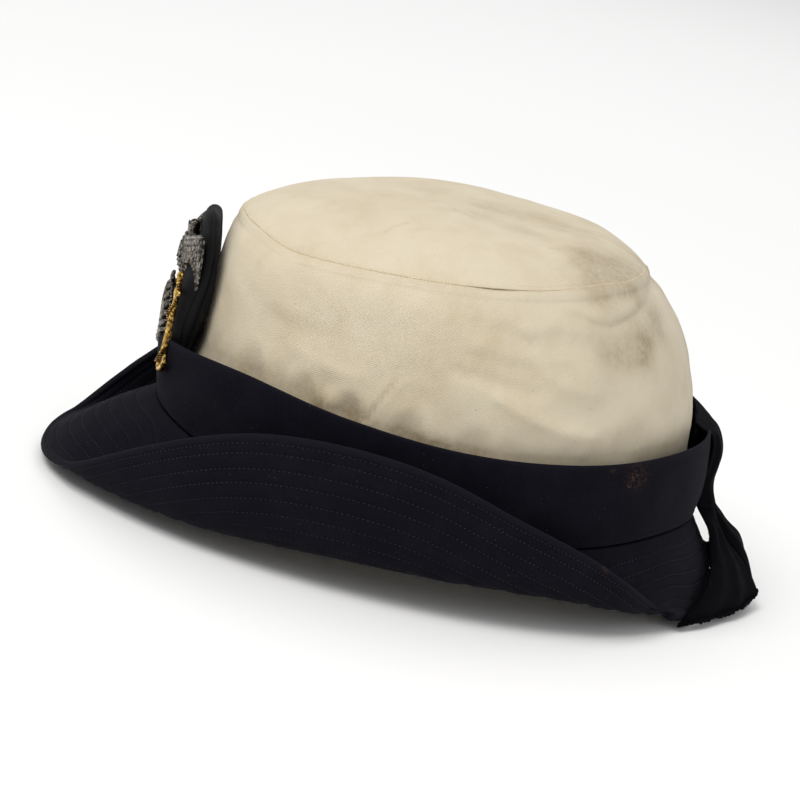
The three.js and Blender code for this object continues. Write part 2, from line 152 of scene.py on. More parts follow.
class SoftNoise:
    """Seeded smooth noise from -1 to 1."""

    CELLS = 32

    def __init__(self, seed: int) -> None:
        """Fill the lattice from one seed."""
        size = (self.CELLS,) * 3
        self.values = np.random.default_rng(seed).uniform(-1, 1, size)

    def at(self, points: Array, size: float | Sequence[float]) -> Array:
        """Read the noise.

        Args:
            points: places, (..., 3).
            size: the width of its lumps, one for all or one for each axis.

        Returns:
            One value for each place.
        """
        spot = points / np.array(size, float)
        cell = np.floor(spot).astype(int)
        f = spot - cell
        f = f * f * (3 - 2 * f)
        total = np.zeros(spot.shape[:-1])
        for corner in np.ndindex(2, 2, 2):
            share = np.ones_like(total)
            for axis in range(3):
                share *= f[..., axis] if corner[axis] else 1 - f[..., axis]
            i, j, k = (np.mod(cell[..., a] + corner[a], self.CELLS) for a in range(3))
            total += share * self.values[i, j, k]
        return total

    def layers(self, points: Array, *layers: tuple) -> Array:
        """Add layers of the noise up.

        Args:
            points: places, (..., 3).
            layers: the strength, the width of the lumps and the shift of each.

        Returns:
            One value for each place.
        """
        return sum(strong * self.at(points + shift, size) for strong, size, shift in layers)


def mix(a: Array | float, b: Array | float, share: Array | float) -> Array:
    """The value a share of the way from a to b."""
    return a + (b - a) * share


def bell(distance: Array, width: float) -> Array:
    """1 at no distance, falling smoothly to 0 past the width."""
    return np.exp(-((distance / width) ** 2))


def step(low: float, high: float, value: Array) -> Array:
    """0 below low and 1 above high, smooth between."""
    k = np.clip((value - low) / (high - low), 0, 1)
    return k * k * (3 - 2 * k)


def from_front(turn: Array) -> Array:
    """Degrees from the front, 0 to 180, of turns round the hat."""
    return 180 - np.abs(180 - turn * 360)


def xyz(x: Array | float, y: Array | float, z: Array | float) -> Array:
    """Points of coordinates that are rows, columns or numbers."""
    return np.stack(np.broadcast_arrays(x, y, z), axis=-1)


def turn_near(points: Array, middle: float, half: float, reach: float) -> Array:
    """Turns round the hat of points near an oval of half a width and half a length."""
    angle = np.arctan2(points[..., 0] / half, -(points[..., 1] - middle) / reach)
    return (angle / TAU) % 1.0


def running(points: Array, axis: int = 0) -> Array:
    """The length run along one axis of a path or a grid, from 0."""
    steps = np.linalg.norm(np.diff(points, axis=axis), axis=-1)
    return np.insert(np.cumsum(steps, axis=axis), 0, 0, axis=axis)


def on_path(where: Array | float, run: Array, path: Array) -> Array:
    """Points of a path at lengths run along it."""
    return np.stack([np.interp(where, run, path[:, a]) for a in range(3)], axis=-1)


def softened(points: Array, weight: Array) -> Array:
    """Average rows of points over their neighbours.

    Args:
        points: the rows; those at the ends are repeated.
        weight: the share of each neighbour, an odd number of them.

    Returns:
        As many rows.
    """
    ends = len(weight) // 2
    long = np.concatenate([np.repeat(points[:1], ends, 0), points,
                           np.repeat(points[-1:], ends, 0)])
    return sum(w * long[i:i + len(points)] for i, w in enumerate(weight)) / weight.sum()


def runs_of(shown: Array) -> list[Array]:
    """Split what is shown where it is broken off.

    Args:
        shown: whether each place of a row is shown.

    Returns:
        The places of each unbroken run.
    """
    breaks = np.where(np.diff(shown.astype(int)))[0] + 1
    return [run for run in np.split(np.arange(len(shown)), breaks) if shown[run[0]]]


def line_distance(points: Array, line: Sequence[Sequence[float]]) -> Array:
    """Measure from points to a broken line.

    Args:
        points: places, (..., 3).
        line: the line's corners.

    Returns:
        The distance of each place, in mm.
    """
    best = np.full(points.shape[:-1], np.inf)
    ends = np.array(line, float)
    for a, b in zip(ends[:-1], ends[1:]):
        along = b - a
        k = np.clip(((points - a) @ along) / (along @ along), 0, 1)
        best = np.minimum(best, np.linalg.norm(points - a - k[..., None] * along, axis=-1))
    return best


def spotted(points: Array, spots: Sequence[Sequence[float]]) -> Array:
    """Lay soft round spots over points.

    Args:
        points: places, (..., 3).
        spots: x, y, z, size and strength of each.

    Returns:
        The strongest spot at each place, from 0 to 1.
    """
    total = np.zeros(points.shape[:-1])
    for x, y, z, size, strength in spots:
        gap = np.linalg.norm(points - (x, y, z), axis=-1)
        total = np.maximum(total, strength * bell(gap, size))
    return total


def no_mark(points: Array) -> Array:
    """A mark that is nowhere."""
    return np.zeros(points.shape[:-1])


def oval_point(
    front: Array, back: Array, half: Array, taper: Array, turn: Array, height: Array,
    out: Array | float = 0.0,
) -> Array:
    """Points of ovals round the head.

    Args:
        front: y of the oval's front end.
        back: y of its back end.
        half: half its width.
        taper: how much narrower it grows towards the front.
        turn: turns round from the front, by the wearer's left.
        height: z of the points.
        out: how far they move out along the oval's normal.

    Returns:
        The points, in mm, (..., 3).
    """
    angle = TAU * turn
    centre, reach = (front + back) / 2, (back - front) / 2
    width = half * (1 - taper * np.cos(angle))
    nx, ny = np.sin(angle) / half, -np.cos(angle) / reach
    size = np.hypot(nx, ny)
    x = width * np.sin(angle) + out * nx / size
    y = centre - reach * np.cos(angle) + out * ny / size
    return xyz(x, y, height)


CURL = np.array([0.0, 0.06, 0.22, 0.45, 0.72])


def stations(length: float, radius: float, count: int) -> Array:
    """Shares of a length, closer together where its ends are rounded.

    Args:
        length: the whole length, in mm.
        radius: the rounding of its ends, in mm.
        count: the steps between the roundings.

    Returns:
        Rising shares from 0 to 1.
    """
    curl = CURL * radius / length
    middle = np.linspace(radius / length, 1 - radius / length, count + 1)
    return np.concatenate([curl, middle, (1 - curl)[::-1]])


# --- placing
@dataclass
class Stance:
    """How the level hat leans and where it stands."""

    lean: float = 2.0
    shift: Array = field(default_factory=lambda: np.zeros(3))

    def turned(self, points: Array) -> Array:
        """The points leaned forward, still in mm."""
        c, s = math.cos(math.radians(self.lean)), math.sin(math.radians(self.lean))
        return points @ np.array([[1, 0, 0], [0, c, s], [0, -s, c]])

    def settle(self, level_points: Array, node: str) -> None:
        """Find the shift that brings a piece onto its CAD node.

        Args:
            level_points: the piece's points, in mm, level.
            node: the CAD node it stands for.
        """
        low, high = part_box(node)
        turned = self.turned(level_points.reshape(-1, 3))
        middle = (turned.min(0) + turned.max(0)) / 2
        self.shift = (np.array(low) + np.array(high)) / (2 * MM) - middle

    def place(self, points: Array) -> Array:
        """Level points in mm as points of the row frame in metres."""
        return (self.turned(points) + self.shift) * MM


STANCE = Stance()


# --- meshes
def deselect() -> None:
    """Nothing is selected after this."""
    for thing in bpy.context.view_layer.objects:
        thing.select_set(False)


def pick(piece: Piece) -> None:
    """Only this piece is selected and active."""
    deselect()
    piece.select_set(True)
    bpy.context.view_layer.objects.active = piece


def fresh(add: Callable[..., object], **sizes: object) -> Piece:
    """Add a primitive, which alone is selected.

    Args:
        add: the operator that adds it.
        sizes: what the operator is told.

    Returns:
        The new object.
    """
    deselect()
    add(**sizes)
    return bpy.context.active_object


@contextmanager
def edit_all() -> Iterator[None]:
    """Edit mode with everything selected, and object mode again after."""
    bpy.ops.object.mode_set(mode="EDIT")
    bpy.ops.mesh.select_all(action="SELECT")
    yield
    bpy.ops.object.mode_set(mode="OBJECT")


def coordinates(piece: Piece) -> Array:
    """A piece's own points, (n, 3)."""
    flat = np.empty(len(piece.data.vertices) * 3)
    piece.data.vertices.foreach_get("co", flat)
    return flat.reshape(-1, 3)


def move_points(piece: Piece, points: Array) -> None:
    """Write a piece's points back."""
    piece.data.vertices.foreach_set("co", points.reshape(-1))
    piece.data.update()


def write_mark(piece: Piece, name: str, values: Array) -> None:
    """Keep one value for each of a piece's points, for its finish to read."""
    mark = piece.data.attributes.new(name, "FLOAT", "POINT")
    mark.data.foreach_set("value", values.reshape(-1).astype(np.float32))


def read_uv(piece: Piece) -> Array:
    """A piece's UVs, (n, 2)."""
    flat = np.empty(len(piece.data.loops) * 2, np.float32)
    piece.data.uv_layers[0].uv.foreach_get("vector", flat)
    return flat.reshape(-1, 2)


def write_uv(piece: Piece, uv: Array) -> None:
    """Write a piece's UVs back."""
    piece.data.uv_layers[0].uv.foreach_set("vector", uv.astype(np.float32).reshape(-1))


def grid_piece(name: str, points: Array) -> Piece:
    """Lay a grid over rows of points.

    Args:
        name: the piece's name.
        points: its points, in mm, level, (rows, columns, 3).

    Returns:
        The piece, in the row frame.
    """
    rows, columns = points.shape[:2]
    piece = fresh(bpy.ops.mesh.primitive_grid_add, x_subdivisions=columns - 1,
                  y_subdivisions=rows - 1, size=1, calc_uvs=True)
    piece.name = piece.data.name = name
    move_points(piece, STANCE.place(points))
    return piece


def volume(piece: Piece) -> float:
    """Measure a closed piece.

    Args:
        piece: the piece.

    Returns:
        The volume inside it, less than 0 if its faces point inwards.
    """
    mesh = piece.data
    mesh.calc_loop_triangles()
    corners = np.empty(len(mesh.loop_triangles) * 3, int)
    mesh.loop_triangles.foreach_get("vertices", corners)
    a, b, c = coordinates(piece)[corners.reshape(-1, 3)].transpose(1, 0, 2)
    return float((a * np.cross(b, c)).sum() / 6)


def close_up(piece: Piece, gap: float = 1e-7) -> None:
    """Merge a piece's doubled points, and turn its faces outwards.

    Args:
        piece: the piece.
        gap: how far apart doubled points are at most.
    """
    pick(piece)
    with edit_all():
        bpy.ops.mesh.remove_doubles(threshold=gap)
    if volume(piece) < 0:
        with edit_all():
            bpy.ops.mesh.flip_normals()
    bpy.ops.object.shade_smooth()


def dress(piece: Piece, finish: Finish, slot: Slot, *nodes: str) -> Piece:
    """Give a piece its finish, hang it on the root, hide its CAD nodes and log it with its slot.

    Args:
        piece: the piece.
        finish: its material.
        slot: the record's slot for it.
        nodes: the CAD nodes that it stands for.

    Returns:
        The piece.
    """
    piece.data.materials.clear()
    piece.data.materials.append(finish)
    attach(piece, "root")
    if nodes:
        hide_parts(*nodes)
    faces = sum(len(p.vertices) - 2 for p in piece.data.polygons)
    LOG.info("%-22s %7d triangles, %s", piece.name, faces, slot.value)
    return piece


# --- cloth
def facing(points: Array, wrap: bool) -> Array:
    """Unit normals of a grid of points, along x across.

    Args:
        points: the grid, (rows, columns, 3).
        wrap: whether its last column is its first again.

    Returns:
        One normal for each point.
    """
    along = np.gradient(points, axis=0)
    if wrap:
        ring = points[:, :-1]
        across = (np.roll(ring, -1, axis=1) - np.roll(ring, 1, axis=1)) / 2
        across = np.concatenate([across, across[:, :1]], axis=1)
    else:
        across = np.gradient(points, axis=1)
    normal = np.cross(along, across)
    size = np.linalg.norm(normal, axis=-1, keepdims=True)
    return normal / np.maximum(size, 1e-12)


def there_and_back(front: Array, back: Array) -> Array:
    """The rows of one face, then the other's from its end to its start."""
    return np.concatenate([front, back[::-1][1:]])


@dataclass
class Cloth:
    """A closed body of cloth over one sheet.

    The sheet is one face of the cloth; outside and inside say how far the
    cloth reaches from it, sway moves the whole cloth and puff thickens it.
    Its weave follows the sheet, or runs straight from front to back, and cut
    is the width and length in metres that it was cut to, if not its own.
    """

    name: str
    surface: Surface
    along: Array
    across: Array
    outside: Rule | float = 0.0
    inside: Rule | float = 0.0
    wrap: bool = True
    pole: bool = False
    sway: Rule | None = None
    puff: Rule | None = None
    marks: dict[str, Rule] = field(default_factory=dict)
    crisp: float = 1.0
    straight: bool = False
    cut: tuple[float, float] | None = None
    area: float = 0.0
    width: float = 0.0
    length: float = 0.0

    def _reach(self, rule: Rule | float, points: Array) -> Array:
        """A reach as an array over the sheet."""
        return rule(points) if callable(rule) else np.full(points.shape[:-1], float(rule))

    def _rounding(self, points: Array, radius: Array) -> Array:
        """Round the cloth's edges.

        Args:
            points: the sheet.
            radius: how far in the rounding reaches.

        Returns:
            The share of the thickness at each point, 0 at the edges.
        """
        run = running(points)
        nearest = run[-1] - run
        if not self.pole:
            nearest = np.minimum(run, nearest)
        if not self.wrap:
            run = running(points, 1)
            nearest = np.minimum(nearest, np.minimum(run, run[:, -1:] - run))
        k = np.clip(nearest / np.maximum(radius, 1e-6), 0, 1)
        return np.sqrt(np.maximum(0, 1 - (1 - k) ** 2))

    def measure(self, points: Array) -> None:
        """Keep the sheet's own width, length and area, in metres.

        Args:
            points: the sheet, before it sways.
        """
        self.length = float(np.median(running(points)[-1])) * MM
        self.width = float(running(points, 1)[:, -1].max()) * MM
        a, b = points[1:, 1:] - points[:-1, :-1], points[1:, :-1] - points[:-1, 1:]
        self.area = float(np.linalg.norm(np.cross(a, b), axis=-1).sum() / 2) * MM * MM

    def make(self) -> Piece:
        """Build the body of cloth.

        Returns:
            The piece, in the row frame, with UVs in metres.
        """
        sheet = self.surface(self.along, self.across)
        self.measure(sheet)
        normal = self._normals(sheet)
        if self.sway is not None:
            sheet = sheet + normal * self.sway(sheet)[..., None]
            normal = self._normals(sheet)
        outside, inside = self._reach(self.outside, sheet), self._reach(self.inside, sheet)
        middle, half = (outside - inside) / 2, (outside + inside) / 2
        swell = self.puff(sheet) if self.puff is not None else 0.0
        thick = (half + swell) * self._rounding(sheet, half * self.crisp)
        faces = [sheet + normal * (middle + way * thick)[..., None] for way in (1, -1)]
        piece = grid_piece(self.name, there_and_back(*faces))
        for name, rule in self.marks.items():
            values = rule(sheet)
            write_mark(piece, name, there_and_back(values, values))
        run = running(sheet).mean(1) * MM
        run = there_and_back(run, run)
        uv = read_uv(piece)
        uv[:, 0] *= self.width
        uv[:, 1] = np.interp(uv[:, 1], np.linspace(0, 1, len(run)), run)
        write_uv(piece, uv)
        close_up(piece)
        if self.straight:
            corners = np.empty(len(piece.data.loops), int)
            piece.data.loops.foreach_get("vertex_index", corners)
            write_uv(piece, coordinates(piece)[corners][:, :2])
        return piece

    def lay(self, finish: Finish, slot: Slot, nodes: Sequence[str], held: str,
            rests_on: str, with_pieces: Iterable[Piece] = ()) -> None:
        """Make the cloth, dress it, and log its flat size and area.

        Args:
            finish: its material.
            slot: the record's slot for it.
            nodes: the CAD nodes that it stands for.
            held: how it is held, in the frame's words; it is not used.
            rests_on: the piece that it lies on or hangs from; it is not used.
            with_pieces: pieces that go with it, made after it.
        """
        piece = dress(self.make(), finish, slot, *nodes)
        width, length = self.cut or (self.width, self.length)
        min(self.area, width * length)
        list(with_pieces)
        LOG.info("%-22s flat %.0f x %.0f mm, %.0f cm2", piece.name, width / MM,
                 length / MM, self.area * 1e4)

    def _normals(self, sheet: Array) -> Array:
        """Find the sheet's normals, with one shared normal at a pole.

        Args:
            sheet: the sheet.

        Returns:
            A unit normal for each of its points.
        """
        normal = facing(sheet, self.wrap)
        if self.pole:
            middle = normal[1].mean(0)
            normal[0] = middle / np.linalg.norm(middle)
        return normal


# --- finishes
class Socket:
    """A shader value that Python's operators turn into Math nodes."""

    def __init__(self, bench: "Bench", link: bpy.types.NodeSocket) -> None:
        """Wrap one output socket of the bench's node tree."""
        self.bench, self.link = bench, link

    def _sum(self, operation: str, *values: "Socket | float") -> "Socket":
        """One Math node of this operation over the values."""
        return self.bench.value("Math", {"operation": operation}, dict(enumerate(values)))

    def __add__(self, other: "Socket | float") -> "Socket":
        """Sum."""
        return self._sum("ADD", self, other)

    def __sub__(self, other: "Socket | float") -> "Socket":
        """Difference."""
        return self._sum("SUBTRACT", self, other)

    def __rsub__(self, other: "Socket | float") -> "Socket":
        """Difference from a number."""
        return self._sum("SUBTRACT", other, self)

    def __mul__(self, other: "Socket | float") -> "Socket":
        """Product."""
        return self._sum("MULTIPLY", self, other)

    __radd__, __rmul__ = __add__, __mul__

    def sine(self) -> "Socket":
        """Sine of the value, in radians."""
        return self._sum("SINE", self)

    def clamped(self) -> "Socket":
        """The value kept from 0 to 1."""
        return self._sum("MINIMUM", self._sum("MAXIMUM", self, 0.0), 1.0)

    def over(self, low: float, high: float) -> "Socket":
        """0 below low and 1 above high, smooth between."""
        return self.bench.value("MapRange", {"interpolation_type": "SMOOTHSTEP"},
                                {0: self, 1: low, 2: high, 3: 0.0, 4: 1.0})


class Bench:
    """A material under way: its shader, and the nodes that feed it."""

    def __init__(self, name: str, **fixed: float | Colour) -> None:
        """Start a material.

        Args:
            name: the finish's name.
            fixed: values of the shader's sockets that are the same all over,
                with underlines for the spaces in their names.
        """
        self.material = bpy.data.materials.new(name)
        self.material.use_nodes = True
        self.tree = self.material.node_tree
        self.shader = self.tree.nodes["Principled BSDF"]
        for label, value in fixed.items():
            wide = (*value, 1.0) if isinstance(value, tuple) else value
            self.shader.inputs[label.replace("_", " ")].default_value = wide

    def node(self, kind: str, settings: Values | None = None,
             sockets: Values | None = None) -> bpy.types.Node:
        """Add a node.

        Args:
            kind: the node's type, without its first word.
            settings: its own settings, set first.
            sockets: values or links of its input sockets.

        Returns:
            The node.
        """
        made = self.tree.nodes.new("ShaderNode" + kind)
        for name, value in (settings or {}).items():
            setattr(made, name, value)
        for key, value in (sockets or {}).items():
            self.feed(made.inputs[key], value)
        return made

    def value(self, kind: str, settings: Values | None = None,
              sockets: Values | None = None, output: int | str = 0) -> Socket:
        """One output of a node that is added as the node method does."""
        return Socket(self, self.node(kind, settings, sockets).outputs[output])

    def feed(self, target: bpy.types.NodeSocket, value: object) -> None:
        """Link a socket, or set its value.

        Args:
            target: the socket.
            value: a Socket to link, or a number, a colour or a vector.
        """
        if isinstance(value, Socket):
            self.tree.links.new(value.link, target)
        elif isinstance(value, tuple) and target.type == "RGBA":
            target.default_value = (*value, 1.0)
        else:
            target.default_value = value

    def place(self) -> Socket:
        """The point on the piece, in metres."""
        return self.value("TexCoord", output="Object")

    def mark(self, name: str) -> Socket:
        """A value that was marked on the piece's points."""
        return self.value("Attribute", {"attribute_name": name}, output="Fac")

    def cloth_run(self) -> tuple[Socket, Socket]:
        """How far across and along the cloth the point is, in metres."""
        made = self.node("SeparateXYZ", sockets={0: self.value("UVMap")})
        return Socket(self, made.outputs[0]), Socket(self, made.outputs[1])

    def noise(self, scale: float, detail: float = 2.0, rough: float = 0.5) -> Socket:
        """Soft noise from 0 to 1, with this many lumps to the metre."""
        fed = {"Vector": self.place(), "Scale": scale, "Detail": detail, "Roughness": rough}
        return self.value("TexNoise", sockets=fed, output="Fac")

    def grains(self, scale: float) -> Socket:
        """Distance to the middle of scattered grains, from 0 to about 1."""
        return self.value("TexVoronoi", sockets={"Vector": self.place(), "Scale": scale},
                          output="Distance")

    def blend(self, share: Socket | float, first: object, second: object) -> Socket:
        """The colour a share of the way from first to second."""
        return self.value("Mix", {"data_type": "RGBA"}, {0: share, 6: first, 7: second}, 2)

    def surface(self, colour: Socket, rough: Socket | float, height: Socket,
                depth: float, strength: float) -> Finish:
        """Finish the material.

        Args:
            colour: its base colour.
            rough: its roughness.
            height: its relief, from 0 to about 1.
            depth: how deep a relief of 1 is, in metres.
            strength: how much of the relief shows.

        Returns:
            The material.
        """
        bump = self.value("Bump", sockets={
            "Strength": strength, "Distance": depth, "Height": height})
        for label, value in (("Base Color", colour), ("Roughness", rough), ("Normal", bump)):
            self.feed(self.shader.inputs[label], value)
        return self.material


@dataclass(frozen=True)
class CottonTwill:
    """Washed white cotton twill, yellowed by age and smudged by hands, with painted shade laid in
    its dents and creases and along the band.
    """

    clean: Colour = (0.635, 0.562, 0.428)
    aged: Colour = (0.53, 0.442, 0.300)
    # the colour of real soil, and of the painted shade in the dents, creases and pinholes
    soil_and_shade: Colour = (0.215, 0.150, 0.068)
    tan: Colour = (0.47, 0.385, 0.255)
    pitch: float = 0.0009
    thread: float = 0.0006

    def make(self) -> Finish:
        """Mix the cotton.

        Returns:
            The material.
        """
        bench = Bench("white_cotton_twill", Sheen_Weight=0.12, Sheen_Roughness=0.6,
                      Specular_IOR_Level=0.18)
        across, along = bench.cloth_run()
        drift = bench.noise(160, 2)
        twill = ((across * 0.62 + along) * (TAU / self.pitch) + drift * 5).sine()
        thread = ((across - along * 0.5) * (TAU / self.thread)).sine()
        slub = bench.noise(1500, 2, 0.6)
        age = (bench.noise(26, 3, 0.6).over(0.35, 0.75) * 0.5
               + bench.noise(75, 4, 0.65).over(0.42, 0.80) * 0.45)
        colour = bench.blend(age.clamped(), self.clean, self.aged)
        weave = (twill * 0.5 + 0.5) * 0.07 + slub * 0.10
        colour = bench.blend(weave, colour, self.aged)
        seam = bench.mark("rub_and_highlight")
        colour = bench.blend((seam * (0.35 + bench.noise(300, 3))).clamped() * 0.55,
                             colour, self.tan)
        # The soil mark holds real smudges and dirt, and painted shade over the band's top edge, in
        # the dents and creases, in the pinholes and under the fold.
        smear = bench.noise(420, 4, 0.7).over(0.32, 0.68)
        patch = bench.noise(90, 3, 0.6).over(0.25, 0.75)
        dirt_and_shade = (bench.mark("soil_and_shade") * (0.5 + smear * 0.4 + patch * 0.3)).clamped()
        colour = bench.blend(dirt_and_shade * 0.72, colour, self.soil_and_shade)
        speck = bench.grains(210).over(0.09, 0.05) * bench.noise(45, 2).over(0.56, 0.68)
        colour = bench.blend(speck * 0.35, colour, self.soil_and_shade)
        height = twill * 0.35 + thread * 0.2 + slub * 0.9
        return bench.surface(colour, 0.86 - dirt_and_shade * 0.08, height, 0.00009, 0.7)


@dataclass(frozen=True)
class WoolSerge:
    """Fulled navy serge: a fine diagonal rib under a short soft nap."""

    name: str = "navy_wool_serge"
    base: Colour = (0.0029, 0.0026, 0.0056)
    lighter_tone: Colour = (0.0063, 0.0058, 0.0100)
    lint: Colour = (0.11, 0.105, 0.10)
    rust: Colour = (0.16, 0.085, 0.045)
    pitch: float = 0.00075
    nap: float = 0.012

    def make(self) -> Finish:
        """Mix the serge.

        Returns:
            The material.
        """
        bench = Bench(self.name, Sheen_Weight=self.nap, Sheen_Roughness=0.45,
                      Sheen_Tint=(0.75, 0.75, 0.9), Specular_IOR_Level=0.07)
        across, along = bench.cloth_run()
        rib = ((across + along) * (TAU / self.pitch) + bench.noise(220, 2) * 6).sine()
        fuzz = bench.noise(2100, 3, 0.7)
        wool = bench.noise(1200, 3, 0.75).over(0.35, 0.65)
        wear_and_highlight = (bench.noise(70, 4, 0.6).over(0.35, 0.75) * 0.5 + wool * 0.5
                + bench.mark("rub_and_highlight") * 0.9).clamped()
        colour = bench.blend(wear_and_highlight, self.base, self.lighter_tone)
        lint = bench.grains(520).over(0.12, 0.06) * bench.noise(130, 2).over(0.55, 0.66)
        colour = bench.blend(lint * 0.5, colour, self.lint)
        spot = (bench.mark("rust") * bench.noise(900, 3, 0.7).over(0.42, 0.62)).clamped()
        colour = bench.blend(spot * 0.85, colour, self.rust)
        height = rib * 0.3 + fuzz
        return bench.surface(colour, 0.88 - wear_and_highlight * 0.06, height, 0.00012, 0.75)


@dataclass(frozen=True)
class BowRibbon:
    """Black-navy ribbon with fine cross ribs and a faint gloss."""

    base: Colour = (0.0012, 0.0012, 0.0018)
    lighter_tone: Colour = (0.0026, 0.0026, 0.0042)
    pitch: float = 0.0006
    thread: float = 0.0004

    def make(self) -> Finish:
        """Mix the ribbon.

        Returns:
            The material.
        """
        bench = Bench("navy_bow_ribbon", Sheen_Weight=0.006, Sheen_Roughness=0.4,
                      Sheen_Tint=(0.7, 0.75, 0.95), Specular_IOR_Level=0.03)
        across, along = bench.cloth_run()
        rib = (along * (TAU / self.pitch) + bench.noise(150, 2) * 2).sine()
        fibre = (across * (TAU / self.thread)).sine()
        dust = bench.noise(300, 4, 0.65).over(0.4, 0.8)
        colour = bench.blend((dust * 0.7 + bench.mark("rub_and_highlight") * 0.8).clamped(),
                             self.base, self.lighter_tone)
        height = rib * 0.6 + fibre * 0.15 + bench.noise(1800, 2) * 0.6
        return bench.surface(colour, 0.72 + dust * 0.15, height, 0.00008, 0.8)


@dataclass(frozen=True)
class PadCloth:
    """Close black felt stretched over the badge's padding, painted lighter along its top as a
    highlight.
    """

    base: Colour = (0.0040, 0.0040, 0.0045)
    lighter_tone: Colour = (0.0075, 0.0072, 0.0076)
    pitch: float = 0.0008

    def make(self) -> Finish:
        """Mix the felt.

        Returns:
            The material.
        """
        bench = Bench("black_badge_felt", Sheen_Weight=0.012, Sheen_Roughness=0.4,
                      Sheen_Tint=(0.85, 0.85, 0.95), Specular_IOR_Level=0.12)
        across, _ = bench.cloth_run()
        down_rib = (across * (TAU / self.pitch) + bench.noise(200, 2) * 3).sine()
        fuzz = bench.noise(1900, 3, 0.7)
        # on the pad the rub mark is a painted highlight along its top; the rest is wear and fuzz
        wear_and_highlight = (bench.noise(110, 3).over(0.4, 0.8) * 0.6 + fuzz * 0.4
                + bench.mark("rub_and_highlight") * 0.8).clamped()
        colour = bench.blend(wear_and_highlight, self.base, self.lighter_tone)
        return bench.surface(colour, 0.78 - wear_and_highlight * 0.12, down_rib * 0.25 + fuzz, 0.00012, 0.8)


@dataclass(frozen=True)
class CastMetal:
    """Die-struck metal with random tarnish and grain, painted lighter on faces turned to the front
    and painted darker, as shade, on faces turned away.
    """

    name: str
    bright: Colour
    dull: Colour
    shine: float = 0.2
    grain: float = 1300.0

    def make(self) -> Finish:
        """Mix the metal.

        Returns:
            The material.
        """
        bench = Bench(self.name, Metallic=1.0)
        tarnish = bench.noise(760, 4, 0.65).over(0.38, 0.62)
        hollow = bench.grains(self.grain)
        rubbed = bench.noise(95, 2).over(0.35, 0.7)
        # painted light and shade: faces turned to the front are lightened and faces turned away
        # are darkened
        facing_front = bench.mark("facing_front").over(0.5, 0.97)
        dark = (tarnish * 0.75 + hollow * 0.4 - rubbed * 0.2 + (facing_front * -0.5 + 0.4)).clamped()
        colour = bench.blend(dark, self.bright, self.dull)
        height = hollow * 0.8 + bench.noise(2600, 2) * 0.5
        return bench.surface(colour, dark * 0.28 + self.shine, height, 0.00016, 0.6)


@dataclass(frozen=True)
class StitchThread:
    """Dull sewing thread, twisted from two strands."""

    name: str
    base: Colour
    lighter_tone: Colour

    def make(self) -> Finish:
        """Mix the thread.

        Returns:
            The material.
        """
        bench = Bench(self.name, Sheen_Weight=0.1, Specular_IOR_Level=0.2)
        colour = bench.blend(bench.noise(240, 3, 0.6).over(0.3, 0.75), self.base, self.lighter_tone)
        return bench.surface(colour, 0.75, bench.noise(3500, 1), 0.00005, 0.5)


@dataclass(frozen=True)
class FloorPaper:
    """A plain pale sweep of paper."""

    base: Colour = (0.93, 0.93, 0.93)

    def make(self) -> Finish:
        """Mix the paper.

        Returns:
            The material.
        """
        bench = Bench("pale_paper", Specular_IOR_Level=0.0)
        shade = tuple(c * 0.985 for c in self.base)
        colour = bench.blend(bench.noise(3, 2), self.base, shade)
        return bench.surface(colour, 1.0, bench.noise(900, 2), 0.00002, 0.2)


class Finishes:
    """Every finish of the hat, made once."""

    def __init__(self) -> None:
        """Mix them all."""
        self.cotton = CottonTwill().make()
        self.serge = WoolSerge().make()
        self.brim = WoolSerge("navy_brim_serge", (0.0034, 0.0030, 0.0060),
                              (0.0066, 0.0060, 0.0102)).make()
        self.ribbon = BowRibbon().make()
        self.pad = PadCloth().make()
        self.silver = CastMetal("tarnished_silver", (0.31, 0.282, 0.245),
                                (0.021, 0.0172, 0.014)).make()
        self.gold = CastMetal("worn_gilt", (0.88, 0.56, 0.14), (0.075, 0.035, 0.008)).make()
        self.thread = StitchThread("navy_thread", (0.0042, 0.0039, 0.0043),
                                   (0.0084, 0.0076, 0.0069)).make()
        self.white_thread = StitchThread("cotton_thread", (0.62, 0.50, 0.31),
                                         (0.74, 0.64, 0.46)).make()


